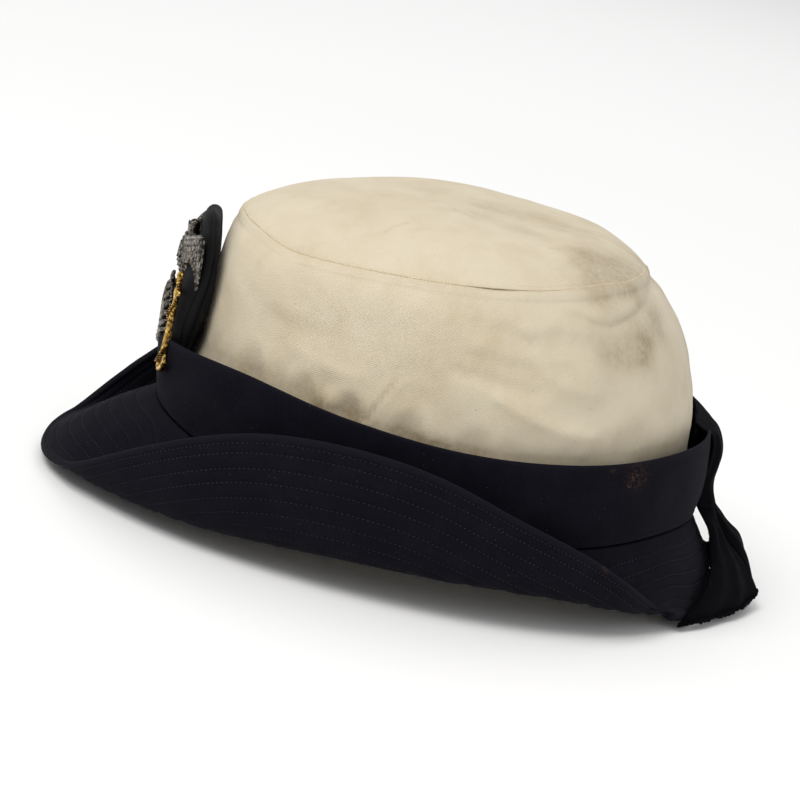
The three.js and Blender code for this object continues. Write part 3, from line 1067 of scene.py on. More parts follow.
# --- stitching
@dataclass(frozen=True)
class Stitch:
    """One short stitch, a bead of thread drawn tight into the cloth."""

    length: float = 0.95
    width: float = 0.40
    height: float = 0.30
    pitch: float = 1.9

    def bead(self) -> Piece:
        """Model the one bead that every stitch copies, along x, in mm.

        Returns:
            The bead.
        """
        piece = fresh(bpy.ops.mesh.primitive_uv_sphere_add, segments=4, ring_count=3, radius=0.5)
        with edit_all():
            bpy.ops.transform.rotate(value=math.pi / 2, orient_axis="Y", center_override=(0, 0, 0))
            bpy.ops.transform.resize(value=(self.length, self.width, self.height))
        return piece

    def sew(self, name: str, rows: Sequence[tuple[Array, Array]]) -> Piece:
        """Copy the bead along rows of stitches.

        Args:
            name: the name of the whole stitching.
            rows: for each row its points and its normals, in mm, level.

        Returns:
            One piece of all the stitches.
        """
        bead = self.bead()
        base = coordinates(bead)
        corners = [list(p.vertices) for p in bead.data.polygons]
        points = []
        for path, normal in rows:
            run = running(path)
            number = int(run[-1] / self.pitch)
            if number < 2:
                continue
            at = (np.arange(number) + 0.5) * run[-1] / number
            spot, up = on_path(at, run, path), on_path(at, run, normal)
            up /= np.linalg.norm(up, axis=-1, keepdims=True)
            way = on_path(at + 0.3, run, path) - spot
            way -= up * (way * up).sum(-1, keepdims=True)
            size = np.linalg.norm(way, axis=-1, keepdims=True)
            keep = size[:, 0] > 1e-4
            spot, up, way = spot[keep], up[keep], way[keep] / size[keep]
            axes = np.stack([way, np.cross(up, way), up], axis=1)
            points.append(spot[:, None, :] + np.einsum("vk,nkc->nvc", base, axes))
        placed = STANCE.place(np.concatenate(points))
        faces = [[c + k * len(base) for c in corner]
                 for k in range(len(placed)) for corner in corners]
        mesh = bead.data
        mesh.clear_geometry()
        mesh.from_pydata(placed.reshape(-1, 3).tolist(), [], faces)
        mesh.update()
        bead.name = mesh.name = name
        pick(bead)
        bpy.ops.object.shade_smooth()
        return bead


# --- band
@dataclass
class HatBand:
    """The serge band round the foot of the crown."""

    finishes: Finishes
    front: float = -102.4
    back: float = 110.0
    half: float = 88.0
    columns: int = 400
    edges: Pattern = Pattern(
        (0, 20, 45, 70, 95, 120, 150, 180),
        top=(55.0, 58.0, 60.2, 56.4, 53.5, 54.4, 58.0, 58.5),
        bottom=(31.0, 30.0, 26.5, 23.0, 22.0, 22.0, 26.0, 25.0),
        top_out=(3.6, 2.4, 0.6, 0.0, 0.0, 0.0, -0.4, -0.4),
        belly=(0.7, 0.4, 0.3, 0.5, 0.5, 0.8, 1.4, 1.8))
    rust_spots: tuple = (
        (65.2, 75.5, 50.5, 1.1, 0.9), (66.4, 74.3, 47.2, 0.8, 0.8),
        (63.0, 78.0, 53.0, 0.7, 0.5), (70.5, 67.0, 53.0, 1.0, 0.4),
        (64.0, 77.0, 51.0, 5.0, 0.22), (-71.0, 64.0, 40.0, 1.0, 0.5))
    noise: SoftNoise = SoftNoise(11)

    def edge(self, name: str, turn: Array) -> Array:
        """One of the band's edge sizes at turns round it."""
        return self.edges.read(name, from_front(turn))

    def oval(self, turn: Array, height: Array, out: Array | float = 0.0) -> Array:
        """Points of the band's oval, moved out."""
        return oval_point(self.front, self.back, self.half, 0.0, turn, height, out)

    def surface(self, along: Array, across: Array) -> Array:
        """Follow the band round the hat.

        Args:
            along: shares of the way down it.
            across: turns round the hat.

        Returns:
            Points of the band's outer face.
        """
        down, turn = along[:, None], across[None, :]
        height = mix(self.edge("top", turn), self.edge("bottom", turn), down)
        belly = self.edge("belly", turn) * 4 * down * (1 - down)
        return self.oval(turn, height, self.edge("top_out", turn) * (1 - down) + belly)

    def _margins(self, points: Array) -> tuple[Array, Array]:
        """Measure how far points lie below the top edge, and above the foot.

        Args:
            points: places on the band.

        Returns:
            Both distances, in mm.
        """
        middle, reach = (self.front + self.back) / 2, (self.back - self.front) / 2
        turn = turn_near(points, middle, self.half, reach)
        return (self.edge("top", turn) - points[..., 2],
                points[..., 2] - self.edge("bottom", turn))

    def _sway(self, points: Array) -> Array:
        """Move the band in slow waves, kept off its edges' neighbours.

        Args:
            points: places on the band.

        Returns:
            How far each goes out, in mm.
        """
        to_top, to_foot = self._margins(points)
        loose = step(0, 9, to_foot) * step(0, 10, to_top)
        waves = self.noise.layers(points, (0.42, (30, 30, 16), 0), (0.16, (11, 11, 9), 90))
        pulls = 0.22 * self.noise.at(points * (1, 1, 0.2) + 40, 6.5) * step(4, 0, to_top)
        return waves * loose - 0.12 + pulls * 0.4

    def _puff(self, points: Array) -> Array:
        """A folded top edge and a hemmed lower one."""
        top, foot = self._margins(points)
        return (0.05 * bell(foot - 1.6, 1.4) - 0.16 * bell(foot - 3.2, 0.7)
                - 0.08 * bell(top - 2.6, 1.0))

    def _rust(self, points: Array) -> Array:
        """Where the little rust spots are."""
        return spotted(points, self.rust_spots)

    def _rub(self, points: Array) -> Array:
        """Where the band's edges are rubbed."""
        top, foot = self._margins(points)
        return 0.8 * bell(top, 1.6) + 0.5 * bell(foot, 1.2)

    def _tape_surface(self, along: Array, across: Array) -> Array:
        """The tape's face towards the crown, from its top down."""
        down, foot = along[:, None], self.edge("bottom", across[None, :])
        return self.oval(across[None, :], mix(foot + 7.0, foot - 3.0, down),
                         2.2 * step(0.38, 1.0, down) - (GAP + SERGE + COTTON + 0.9))

    def build(self) -> None:
        """Make the band, and the near-black tape inside that joins the brim to it and darkens the
        gap between them as painted shade.
        """
        # a real inner tape, given the near-black ribbon so that it darkens the gap between band
        # and brim as painted shade
        tape = Cloth("brim_seam_tape", self._tape_surface, stations(10, 0.4, 10),
                     np.linspace(0, 1, 201), inside=0.8, marks={"rub_and_highlight": no_mark})
        tape.lay(self.finishes.ribbon, Slot.RIBBON, [], "stretched", "cotton_crown_side")
        cloth = Cloth(
            "serge_band", self.surface, stations(34, SERGE / 2, 44),
            np.linspace(0, 1, self.columns + 1), inside=SERGE, sway=self._sway,
            puff=self._puff, marks={"rust": self._rust, "rub_and_highlight": self._rub})
        cloth.lay(self.finishes.serge, Slot.SERGE, ["hat_band"], "stretched",
                  "cotton_crown_side")


# --- crown
@dataclass
class Crown:
    """The white cotton cover: a side, and a soft tip sewn to its top."""

    finishes: Finishes
    band: HatBand
    top: float = 109.5
    tilt: float = 0.045
    rise: float = 15.0
    fullness: float = 4.2
    puffed: float = 0.07
    shoulder: float = 7.0
    foot_rise: float = 6.0
    columns: int = 420
    # the points of a section: all, beside each that is softened, at its
    # ends where that fades out, and those that are well inside the tip
    fine: int = 500
    soft: int = 24
    ends: int = 40
    inner: int = 120
    # the oval that turns are read on: middle, half its width and half its length
    oval: tuple = (-2.0, 76.0, 84.0)
    seam_line: Pattern = Pattern(
        (0, 12, 26, 36, 44, 54, 68, 88, 104, 118, 130, 140, 155, 180),
        height=(111.6, 111.5, 110.8, 109.3, 108.5, 108.9, 109.8, 110.7, 111.4, 112.0,
                112.9, 113.3, 112.7, 112.2))
    levels: Pattern = Pattern(
        (34, 44, 54, 67, 77, 87, 99, 105, 109.5),
        front=(-99.5, -93.2, -90.9, -88.4, -88.2, -88.6, -88.4, -87.0, -84.2),
        back=(107.0, 102.8, 101.6, 100.6, 97.0, 91.7, 82.4, 77.4, 72.2),
        half=(85.0, 81.0, 80.2, 80.2, 79.8, 79.0, 77.2, 75.8, 73.8),
        taper=(0.0, 0.0, 0.0, 0.02, 0.04, 0.05, 0.06, 0.07, 0.08))
    noise: SoftNoise = SoftNoise(23)
    # smudges: x, y, z, size, amount
    smudges: tuple = (
        (35, 49, 121, 11, 0.75), (30, 58, 119, 10, 0.7), (48, 45, 118, 9, 0.65),
        (0, 69, 117, 9, 0.5), (-4, 12, 127, 12, 0.30), (-1.5, 31, 127, 10, 0.35),
        (8, 42, 126, 8, 0.45), (19, 4, 126, 9, 0.25), (25, 18, 126, 7, 0.3),
        (62, 58, 95, 8, 0.55), (51, 69, 96, 8, 0.75), (61, 61, 92, 6, 0.5),
        (47, 72, 96, 6, 0.65), (34, 74, 105, 8, 0.6), (36, 77, 100, 7, 0.5),
        (40, 62, 112, 8, 0.7), (54, 52, 112, 8, 0.6), (20, 66, 117, 9, 0.55),
        (30, -80, 74, 10, 0.16), (58, -60, 72, 12, 0.14), (76, -10, 84, 16, 0.10),
        (76, 10, 60, 14, 0.15), (58, 75, 66, 8, 0.2), (70, 20, 96, 12, 0.12),
        (-60, 58, 100, 11, 0.35), (-40, 66, 112, 9, 0.4), (-55, -40, 112, 12, 0.2),
        (-72, -30, 62, 12, 0.2), (0, -60, 120, 12, 0.12), (-20, -20, 126, 14, 0.15))
    # pinholes, each painted as a dark dot of shade: x, y, z
    pinholes: tuple = (
        (19, -84, 72.5), (46, -68, 79), (50, 56, 110.7), (52, 78, 62.9))
    dart: tuple = (
        (76.7, -17.1, 74.4), (76.4, -19.6, 68.5), (76, -22.7, 62), (75.7, -25.8, 55.6))
    # wrinkles: line, height, width
    wrinkles: tuple = (
        (((74.8, 25.3, 99.8), (71.2, 34.2, 102.5), (66.9, 46.1, 100)), 0.5, 3.0),
        (((78.4, 8.6, 91.7), (77.3, 23.7, 89.6), (73.4, 38.6, 89.9)), 0.45, 3.4),
        (((79.3, 19.7, 73.4), (77.4, 32, 68.3), (73.8, 44, 65.1), (68.7, 55.8, 63.6)),
         0.6, 3.0),
        (((76.1, 31.9, 86.3), (74.3, 40.3, 81.8), (69.6, 52.4, 79)), 0.5, 3.2),
        (((76.9, 14.6, 98.2), (76.5, 20, 96.8), (75.8, 26.4, 94.6)), -0.4, 2.4),
        (((78.5, 2, 80.5), (79.2, 18.6, 78.8), (77, 32, 77)), -0.4, 3.0),
        (((57, -56, 72), (66, -44, 70), (72, -32, 69.5)), 0.45, 3.4),
        (((40, -74, 84), (55, -60, 80), (66, -44, 80)), -0.35, 4.0),
        (((-77, -10, 84), (-79, 8, 81), (-78, 24, 76)), 0.5, 3.0),
        (((-70, -34, 70), (-76, -16, 66), (-78, 2, 64)), -0.45, 3.0),
        (((-74, 34, 92), (-66, 52, 88), (-50, 70, 86)), 0.5, 3.4),
        (((-30, -80, 78), (-48, -66, 74), (-62, -48, 72)), 0.4, 3.4))
    # dents just over the band: x, y, z, size, depth
    dents: tuple = (
        (47, -70, 58.5, 6.0, 0.9), (63.6, -50, 57.5, 4.6, 1.1), (69, -41, 57.5, 3.5, -0.4),
        (73, -33, 55.5, 5.0, 1.5), (79.5, -11, 52.5, 6.0, 1.2), (79, 14, 52, 6.0, 0.7),
        (75, 34, 57, 8.0, 0.5), (-58, -58, 62, 6.0, 1.0), (-72, -34, 60, 5.5, 1.0),
        (-79, 6, 57, 6.0, 0.7), (-60, 68, 62, 7.0, 0.8), (58, 70, 62, 7.0, 0.5))
    # painted shade over the band's top edge, deepest at the dents, partly grime: amount and height
    # of the darkening at each angle from the front
    shade_and_grime: Pattern = Pattern(
        (0, 30, 38, 48, 56, 61, 66, 72, 77, 82, 90, 100, 110, 120, 180),
        amount=(0.15, 0.3, 0.6, 0.35, 0.6, 1.0, 0.5, 1.0, 0.45, 0.9, 0.95, 0.65, 0.35, 0.2,
                0.25),
        tall=(2.6, 3.4, 4.7, 3.6, 4.7, 6.2, 4.2, 6.2, 4.0, 3.6, 2.8, 2.2, 2.2, 2.2, 3.0))
    tip_creases: tuple = (
        (((16.7, -5.8, 126), (24.1, 3.4, 126), (29.4, 13.6, 126), (27.5, 26, 126),
          (21.8, 39.8, 125.5)), -0.32, 1.2),
        (((50, -31.4, 118.7), (45.8, -27.6, 120.4), (42.4, -23.7, 122)), -0.22, 0.9),
        (((40.5, 29.5, 124.1), (38.1, 36.1, 123.8)), -0.25, 1.0),
        (((-20, 10, 127), (-8, 24, 127), (2, 44, 125.5)), -0.28, 1.2),
        (((-44, -10, 121), (-34, -30, 121)), -0.25, 1.1))
    # the fold behind on the left: turn, height, strength
    fold_arc: tuple = (
        (0.318, 107.0, 0.0), (0.327, 107.1, 0.12), (0.335, 107.3, 0.3), (0.343, 106.2, 0.45),
        (0.352, 104.4, 0.6), (0.365, 103.8, 0.8), (0.383, 105.5, 1.0), (0.410, 108.3, 1.0),
        (0.445, 110.8, 0.55), (0.470, 112.2, 0.15), (0.485, 112.9, 0.0))

    # --- shape
    def ring(self, height: Array, turn: Array) -> Array:
        """Follow the side round at heights, tilted as the tip is.

        Args:
            height: level heights.
            turn: turns round the crown.

        Returns:
            The points.
        """
        low = self.levels.keys[0]
        points = oval_point(**self.levels.row(height), turn=turn, height=height)
        share = np.maximum(height - low, 0) / (self.top - low)
        points[..., 2] += self.tilt * points[..., 1] * share
        return points

    def _foot(self, height: Array, turn: Array, foot: Array) -> Array:
        """Spread the side below its lowest level, inside the band.

        Args:
            height: level heights.
            turn: turns round the crown.
            foot: the height of the foot's edge at each turn.

        Returns:
            The points.
        """
        low = self.levels.keys[0]
        under = self.ring(np.maximum(height, low), turn)
        under[..., 2] = np.where(height < low, height, under[..., 2])
        spread = self.band.oval(turn, height, -(GAP + SERGE))
        k = np.clip((low - height) / np.maximum(low - foot, 1e-6), 0, 1)[..., None]
        return mix(under, spread, k)

    def _dome(self, out: Array, turn: Array) -> Array:
        """Follow the tip's soft dome.

        Args:
            out: shares of the way from its middle to its rim.
            turn: turns round the crown.

        Returns:
            The points.
        """
        rim = self.levels.row(self.top)
        centre = (rim["front"] + rim["back"]) / 2
        edge = oval_point(**rim, turn=turn, height=0.0)
        y = mix(centre, edge[..., 1], out)
        puff = 1 + self.puffed * (y - centre) / (rim["back"] - centre)
        lift = self.rise * puff * (1 - out ** self.fullness)
        lift = lift - (1.9 * bell(y - 32, 19) + 0.9 * bell(y + 44, 20)) * (1 - out ** 6)
        return xyz(edge[..., 0] * out, y, self.top + self.tilt * y + COTTON + GAP + lift)

    def profile(self, across: Array) -> tuple[Array, Array, Array]:
        """Draw the whole crown's section at each turn, its shoulder rounded.

        Args:
            across: turns round the crown.

        Returns:
            The run from the middle, (k, columns), the points there, and the
            run at which each section crosses the seam.
        """
        turn, columns = across[None, :], range(len(across))
        foot = self.band.edge("bottom", turn) + self.foot_rise
        down = np.linspace(0, 1, 200)[:, None]
        side = self._foot(mix(self.top, foot, down), turn, foot)
        rough = np.concatenate([self._dome(down, turn), side])
        run = running(rough)
        even = run[-1] * np.linspace(0, 1, self.fine)[:, None]
        points = np.stack([on_path(even[:, j], run[:, j], rough[:, j]) for j in columns], 1)
        weight = np.exp(-(np.arange(-self.soft, self.soft + 1) / self.shoulder) ** 2)
        order = np.arange(self.fine)
        fade = step(0, self.ends, np.minimum(order, order[::-1]))[:, None, None]
        points = mix(points, softened(points, weight), fade)
        height = (points[..., 2] - self.tilt * points[..., 1])[self.inner:]
        seam = np.array([np.interp(-wanted, -height[:, j], even[self.inner:, j])
                         for j, wanted in enumerate(self.seam_height(across))])
        return even, points, seam

    def seam_height(self, turn: Array) -> Array:
        """How high the tip's seam runs, without the tilt."""
        return self.seam_line.read("height", from_front(turn))

    def _along_profile(self, across: Array, share: Array, tip: bool) -> Array:
        """Follow the sections on one side of the seam.

        Args:
            across: turns round the crown.
            share: shares of the way down the tip or the side.
            tip: whether it is the tip.

        Returns:
            The points, (shares, turns, 3).
        """
        even, points, seam = self.profile(across)
        ends = [(0.0, at) if tip else (at, even[-1, j]) for j, at in enumerate(seam)]
        return np.stack([on_path(mix(*end, share), even[:, j], points[:, j])
                         for j, end in enumerate(ends)], 1)

    def side_surface(self, along: Array, across: Array) -> Array:
        """The side's outer face, from the seam down to its foot."""
        return self._along_profile(across, along, False)

    def tip_surface(self, along: Array, across: Array) -> Array:
        """The tip's outer face, from its middle out to the seam."""
        return self._along_profile(across, along, True)

    def above_seam(self, points: Array) -> Array:
        """How far points lie above the tip's seam."""
        return points[..., 2] - self.tilt * points[..., 1] \
            - self.seam_height(self.turn_of(points))

    def turn_of(self, points: Array) -> Array:
        """Turns round the crown of points on it."""
        return turn_near(points, *self.oval)

    # --- relief
    def _gathers(self, points: Array, away: Array) -> Array:
        """Pucker the cloth beside the tip's seam.

        Args:
            points: places on the cloth.
            away: how far each is from the seam.

        Returns:
            How far each goes out, in mm.
        """
        angle = TAU * self.turn_of(points)
        ring = xyz(np.cos(angle) * 90, np.sin(angle) * 90, 7.0)
        pull = self.noise.layers(ring, (0.6, 5.2, 0), (0.4, 2.7, 31))
        return 0.30 * pull * np.exp(-np.abs(away) / 4.5) * step(0.0, 1.6, np.abs(away))

    def _back_seam(self, points: Array) -> Array:
        """The seam that stands up down the middle of the back."""
        x = points[..., 0]
        ridge = 0.42 * step(2.6, 1.9, np.abs(x)) - 0.62 * bell(x, 0.35)
        return np.where(points[..., 1] > 0, ridge, 0.0)

    def _arc(self, points: Array) -> tuple[Array, Array]:
        """The fold behind on the left.

        Args:
            points: places on the side.

        Returns:
            How far above the fold's line they are, and how strong it is there.
        """
        turn, arc = self.turn_of(points), np.array(self.fold_arc)
        above = points[..., 2] - np.interp(turn, arc[:, 0], arc[:, 1])
        return above, np.interp(turn, arc[:, 0], arc[:, 2])

    def _fold(self, points: Array) -> Array:
        """Fullness that hangs over in a fold below the seam."""
        above, strong = self._arc(points)
        hang = np.exp(-np.maximum(above, 0) / 6.0) * step(-1.7, 2.0, above)
        return strong * (hang - 0.25 * bell(above + 1.8, 1.8))

    def _side_sway(self, points: Array) -> Array:
        """Everything that moves the side's cloth in and out.

        Args:
            points: places on the side.

        Returns:
            How far each goes out, in mm.
        """
        height = points[..., 2]
        away = -self.above_seam(points)
        above = height - self.band.edge("top", self.turn_of(points))
        slow = self.noise.layers(points, (1.45, (46, 46, 34), 0), (0.75, (20, 20, 13), 70),
                                 (0.16, (8, 8, 6), 35))
        total = slow * step(-2, 12, above) * step(0.3, 10, away)
        total += self._gathers(points, away) + self._back_seam(points) + self._fold(points)
        allowance = step(0.2, 1.1, away) * step(3.9, 2.6, away)
        total += allowance * (0.30 + 0.14 * self.noise.at(points + 44, 12.0))
        for flip, deep in ((1, 0.75), (-1, 0.6)):
            dart = line_distance(points * (flip, 1, 1), self.dart)
            total += deep * (0.75 * bell(dart - 1.9, 1.3) - bell(dart, 0.8)) * step(76, 70, height)
        for line, deep, wide in self.wrinkles:
            total += 1.6 * deep * bell(line_distance(points, line), wide)
        tucks = self.noise.at(points * (1, 1, 0.25) + 50, 7.0)
        total += 0.5 * tucks * bell(above - 2.0, 5.0) * step(-3, 1, above)
        for x, y, z, size, deep in self.dents:
            gap = np.linalg.norm((points - (x, y, z)) * (1, 1, 0.75), axis=-1)
            total -= 1.3 * deep * (bell(gap, size) - 0.35 * bell(gap - size * 1.35, size * 0.5))
        return total - 0.55 * self._gape(points) * bell(away, 1.8)

    def _gape(self, points: Array) -> Array:
        """Where the seam has come open, on the left."""
        return bell(points[..., 1] - 10.4, 9.5) * (points[..., 0] > 0)

    def _tip_sway(self, points: Array) -> Array:
        """Everything that moves the tip's cloth up and down.

        Args:
            points: places on the tip.

        Returns:
            How far each goes out, in mm.
        """
        above = self.above_seam(points)
        slow = self.noise.layers(points, (0.95, 38, 20), (0.42, (17, 15, 17), 61), (0.11, 7, 8))
        total = slow * step(0.3, 8, above) + self._gathers(points, above)
        for line, deep, wide in self.tip_creases:
            gap = line_distance(points, line)
            total += deep * (bell(gap, wide) - 0.6 * bell(gap - wide * 1.7, wide * 0.9))
        return total + 0.35 * self._gape(points) * bell(above - 0.8, 2.0)

    # --- marks
    def _soil_and_shade(self, points: Array) -> Array:
        """How soiled the cotton is, with painted shade over the band's top edge and in the dents,
        the tip's creases, the pinholes and under the fold.

        Args:
            points: places on the crown.

        Returns:
            From 0 to 1 at each place.
        """
        total = np.zeros(points.shape[:-1])
        warp = np.stack([self.noise.at(points + k * 17, 7.0) for k in range(3)], -1)
        for smudge in self.smudges:
            total = 1 - (1 - total) * (1 - spotted(points + 3.6 * warp, [smudge]))
        # painted shade along the tip's creases
        for line, _, wide in self.tip_creases:
            total = np.maximum(total, 0.55 * bell(line_distance(points, line), wide * 0.9))
        above, strong = self._arc(points)
        # painted shade: a dark dot stands in for each pinhole
        total = np.maximum(total, spotted(points, [(*at, 0.5, 1.0) for at in self.pinholes]))
        # painted shadow just under the lip of the fold behind on the left
        total = np.maximum(total, 0.42 * strong * bell(above + 0.6, 1.2))
        # painted shade, partly grime: darker just over the band's top edge, deepest at the dents
        turn = self.turn_of(points)
        foot = points[..., 2] - self.band.edge("top", turn)
        dirt_and_shade = self.shade_and_grime.row(from_front(turn))
        thick = dirt_and_shade["amount"] * (1 + 0.35 * self.noise.at(points + 5, 7.0))
        shade_and_grime = (0.2 + 0.8 * thick) * np.exp(-np.maximum(foot, 0) / dirt_and_shade["tall"])
        return np.clip(total + shade_and_grime, 0, 1)

    def _rub(self, points: Array) -> Array:
        """Where seams and folds are yellowed.

        Args:
            points: places on the crown.

        Returns:
            From 0 to 1 at each place.
        """
        around = 0.3 * bell(self.above_seam(points), 1.0)
        back = np.where(points[..., 1] > 0, 0.9 * bell(np.abs(points[..., 0]) - 2.2, 0.8), 0)
        above, strong = self._arc(points)
        return np.maximum(around, np.maximum(back, 0.7 * strong * bell(above, 1.0)))

    # --- pieces
    def _seam_stitches(self) -> None:
        """Sew the tip's seam, and the tiny stitches that show beside it."""
        rim = self.tip_surface(np.array([0.992, 0.9985, 1.0]), np.linspace(0, 1, 1201))
        normal = facing(rim, False)[1]
        seam = [(rim[1][run], normal[run]) for run in runs_of(self._gape(rim[1]) < 0.3)]
        grid = self.tip_surface(np.array([0.972, 0.976, 0.980]), np.linspace(0.30, 0.47, 200))
        normal = facing(grid, False)[1]
        beside = grid[1] + normal * (self._tip_sway(grid)[1][:, None] + 0.03)
        for name, stitch, rows in (
                ("crown_seam_thread", Stitch(1.4, 0.55, 0.3, 1.25), seam),
                ("crown_seam_stitches", Stitch(0.8, 0.4, 0.22, 1.5), [(beside, normal)])):
            dress(stitch.sew(name, rows), self.finishes.white_thread, Slot.COTTON)

    def _cloth(self, name: str, surface: Surface, along: Sequence[Sequence[float]],
               sway: Rule, **more: object) -> Cloth:
        """Lay out one of the crown's two pieces.

        Args:
            name: the piece's name.
            surface: its outer face.
            along: stretches of shares of the way down it.
            sway: what moves it in and out.
            more: what else the cloth is told.

        Returns:
            The cloth, not yet made.
        """
        return Cloth(name, surface, np.concatenate(along), np.linspace(0, 1, self.columns + 1),
                     inside=COTTON, sway=sway, marks={"soil_and_shade": self._soil_and_shade, "rub_and_highlight": self._rub},
                     crisp=0.2, **more)

    def build(self) -> None:
        """Make the side and the tip, and sew them together."""
        side = self._cloth("cotton_crown_side", self.side_surface, (
            [0, 0.0006, 0.002, 0.004, 0.0065], np.linspace(0.010, 0.10, 16),
            np.linspace(0.109, 0.74, 68), np.linspace(0.77, 0.98, 9),
            [0.990, 0.995, 1.0]), self._side_sway)
        side.lay(self.finishes.cotton, Slot.COTTON, ["crown_side"], "stretched", "serge_band")
        rim = self.levels.row(self.top)
        cut = ((rim["half"] + 8) * 2 * MM, (rim["back"] - rim["front"] + 16) * MM)
        tip = self._cloth("cotton_crown_tip", self.tip_surface, (
            [0, 0.006], np.linspace(0.02, 0.85, 48), np.linspace(0.861, 0.99, 16),
            [0.9935, 0.9962, 0.9982, 0.9994, 1.0]), self._tip_sway, pole=True,
            straight=True, cut=cut)
        tip.lay(self.finishes.cotton, Slot.COTTON, ["crown_tip"], "stretched",
                "cotton_crown_side")
        self._seam_stitches()


# --- brim
@dataclass
class Brim:
    """The brim: layers of serge stitched in rows and rolled up at the sides."""

    finishes: Finishes
    band: HatBand
    columns: int = 420
    tuck: float = 0.3
    blend: float = 0.013
    right_roll: float = 3.5
    even: float = 30.0
    reach: float = 78.0
    narrow: float = 37.4
    # how deep the threads lie, and how far from the band their rows end
    sunk: float = 0.22
    clear: float = 4.5
    rows: tuple = (3.4, 7.2, 13.1, 18.5, 24.5, 30.2, 35.6, 41.0, 46.6, 52.2, 57.8, 63.4, 69.0)
    sections: Pattern = Pattern(
        (0, 12, 22, 30, 40, 50, 60, 75, 90, 105, 120, 135, 147, 160, 180),
        edge_out=(39, 38.8, 35.5, 32, 28.5, 24.5, 21, 18, 16, 14.5, 13.5, 12, 9.5, 9, 10.5),
        edge=(0.8, 2.4, 10, 21, 32.8, 43.4, 49.7, 52, 47.8, 36, 24.8, 9.3, -2.5, -9.5, -10.2),
        drop_out=(13, 12, 11, 9, 7, 5, 4, 4, 4, 4, 4, 4, 4, 3, 3),
        drop=(24, 21.5, 13, 8, 3, 1, 2, 3, 2, 1, 1, 3, 8, 12, 12),
        rise_out=(27, 27, 29, 29, 28, 26, 23, 20, 18, 17, 16, 14, 11, 10, 13),
        rise=(13, 6.5, -8, -11.5, -11.5, -10.8, -8.5, -4, -1.5, -1, -4, -10, -9, 1, 5))
    rust_spots: tuple = (
        (33, -95, 35.6, 1.2, 0.6), (84, 70, 20, 1.0, 0.6), (-70, 60, 8, 1.4, 0.6))
    noise: SoftNoise = SoftNoise(37)

    def _section(self, turn: float) -> tuple[Array, Array, Array]:
        """One section of the brim's lower face.

        Args:
            turn: where it is round the hat.

        Returns:
            Its distance from the edge, and how far out and how high it is.
        """
        near = turn + np.linspace(-2, 2, 5) * self.blend
        weight = np.array([1, 3, 4, 3, 1]) / 12
        read = {n: float(v @ weight) for n, v in self.sections.row(from_front(near)).items()}
        roll = self.right_roll * max(0.0, -math.sin(turn * TAU))
        root = np.array([-self.tuck, float(self.band.edge("bottom", np.array(turn))) - 2 * GAP])
        drop = np.array([read["drop_out"], read["drop"]])
        slope = (drop - root) / np.linalg.norm(drop - root)
        root = root + np.array([slope[1], -slope[0]]) * BRIM_CLOTH
        rise = np.array([read["rise_out"], read["rise"]])
        edge = np.array([read["edge_out"], read["edge"] + roll])
        k = np.linspace(0, 1, 160)[:, None]
        path = ((1 - k) ** 3 * root + 3 * k * (1 - k) ** 2 * drop
                + 3 * k * k * (1 - k) * rise + k ** 3 * edge)
        run = running(path)
        return run[-1] - run, path[:, 0], path[:, 1]

    def _lengths(self, turns: Array) -> tuple[Array, Array]:
        """How wide the brim is at turns, and how close its rows lie where it is narrow."""
        lengths = np.array([self._section(float(turn))[0][0] for turn in turns])
        return lengths, np.minimum(1.0, lengths / self.narrow)

    def _points(self, away: Array, turns: Array) -> Array:
        """Follow the lower face.

        Args:
            away: distances from the brim's edge, (rows, turns).
            turns: turns round the hat.

        Returns:
            The points.
        """
        out, height = np.empty_like(away), np.empty_like(away)
        for j, turn in enumerate(turns):
            run, side, level = self._section(float(turn))
            out[:, j] = np.interp(-away[:, j], -run, side)
            height[:, j] = np.interp(-away[:, j], -run, level)
        return self.band.oval(turns[None, :], height, out)

    def surface(self, along: Array, across: Array) -> Array:
        """The brim's lower face.

        Args:
            along: distances from the edge, where the brim is wide.
            across: turns round the hat.

        Returns:
            The points.
        """
        lengths, scale = self._lengths(across)
        rest = (lengths - self.even * scale) / (self.reach - self.even)
        near, far = np.minimum(along, self.even), np.maximum(along - self.even, 0)
        return self._points(near[:, None] * scale + far[:, None] * rest, across)

    def _away(self, points: Array) -> Array:
        """Distance of each point from the brim's edge, along its section."""
        run = running(points)
        return run[-1] - run

    def _waves(self, points: Array, away: Array | float, length: Array) -> Array:
        """Wave the whole brim slowly, but not where it meets the band.

        Args:
            points: places on the brim.
            away: how far they are from its edge.
            length: how wide the brim is there.

        Returns:
            How far each goes out, in mm.
        """
        slow = self.noise.layers(points, (0.75, (44, 44, 30), 0), (0.22, (15, 15, 13), 33))
        ripple = 0.16 * self.noise.at(points + 70, 7.0) * bell(away - 2, 9.0)
        return slow * step(0, 16, length - away) + ripple

    def _sway(self, points: Array) -> Array:
        """The waves of the brim's own points."""
        away = self._away(points)
        return self._waves(points, away, away[0])

    def _puff(self, points: Array) -> Array:
        """Sink channels along the rows of stitches, and raise a bead at the edge.

        Args:
            points: places on the brim.

        Returns:
            How much thicker it is at each, in mm.
        """
        away = self._away(points)
        scale = np.minimum(1.0, away[0] / self.narrow)
        swell = 0.16 * self.noise.at(points + 11, 4.2)
        total = 0.10 + 0.06 * swell
        for row in self.rows:
            total = total - (0.42 + swell * 0.6) * bell(away - row * scale, 0.85)
        return total * step(2.0, 9.0, away[0] - away) + 0.22 * bell(away - 1.5, 1.2)

    def _rub(self, points: Array) -> Array:
        """Where the brim's edge is rubbed."""
        return 0.9 * bell(self._away(points) - 0.8, 1.6)

    def _rust(self, points: Array) -> Array:
        """Where the little rust spots are."""
        return spotted(points, self.rust_spots)

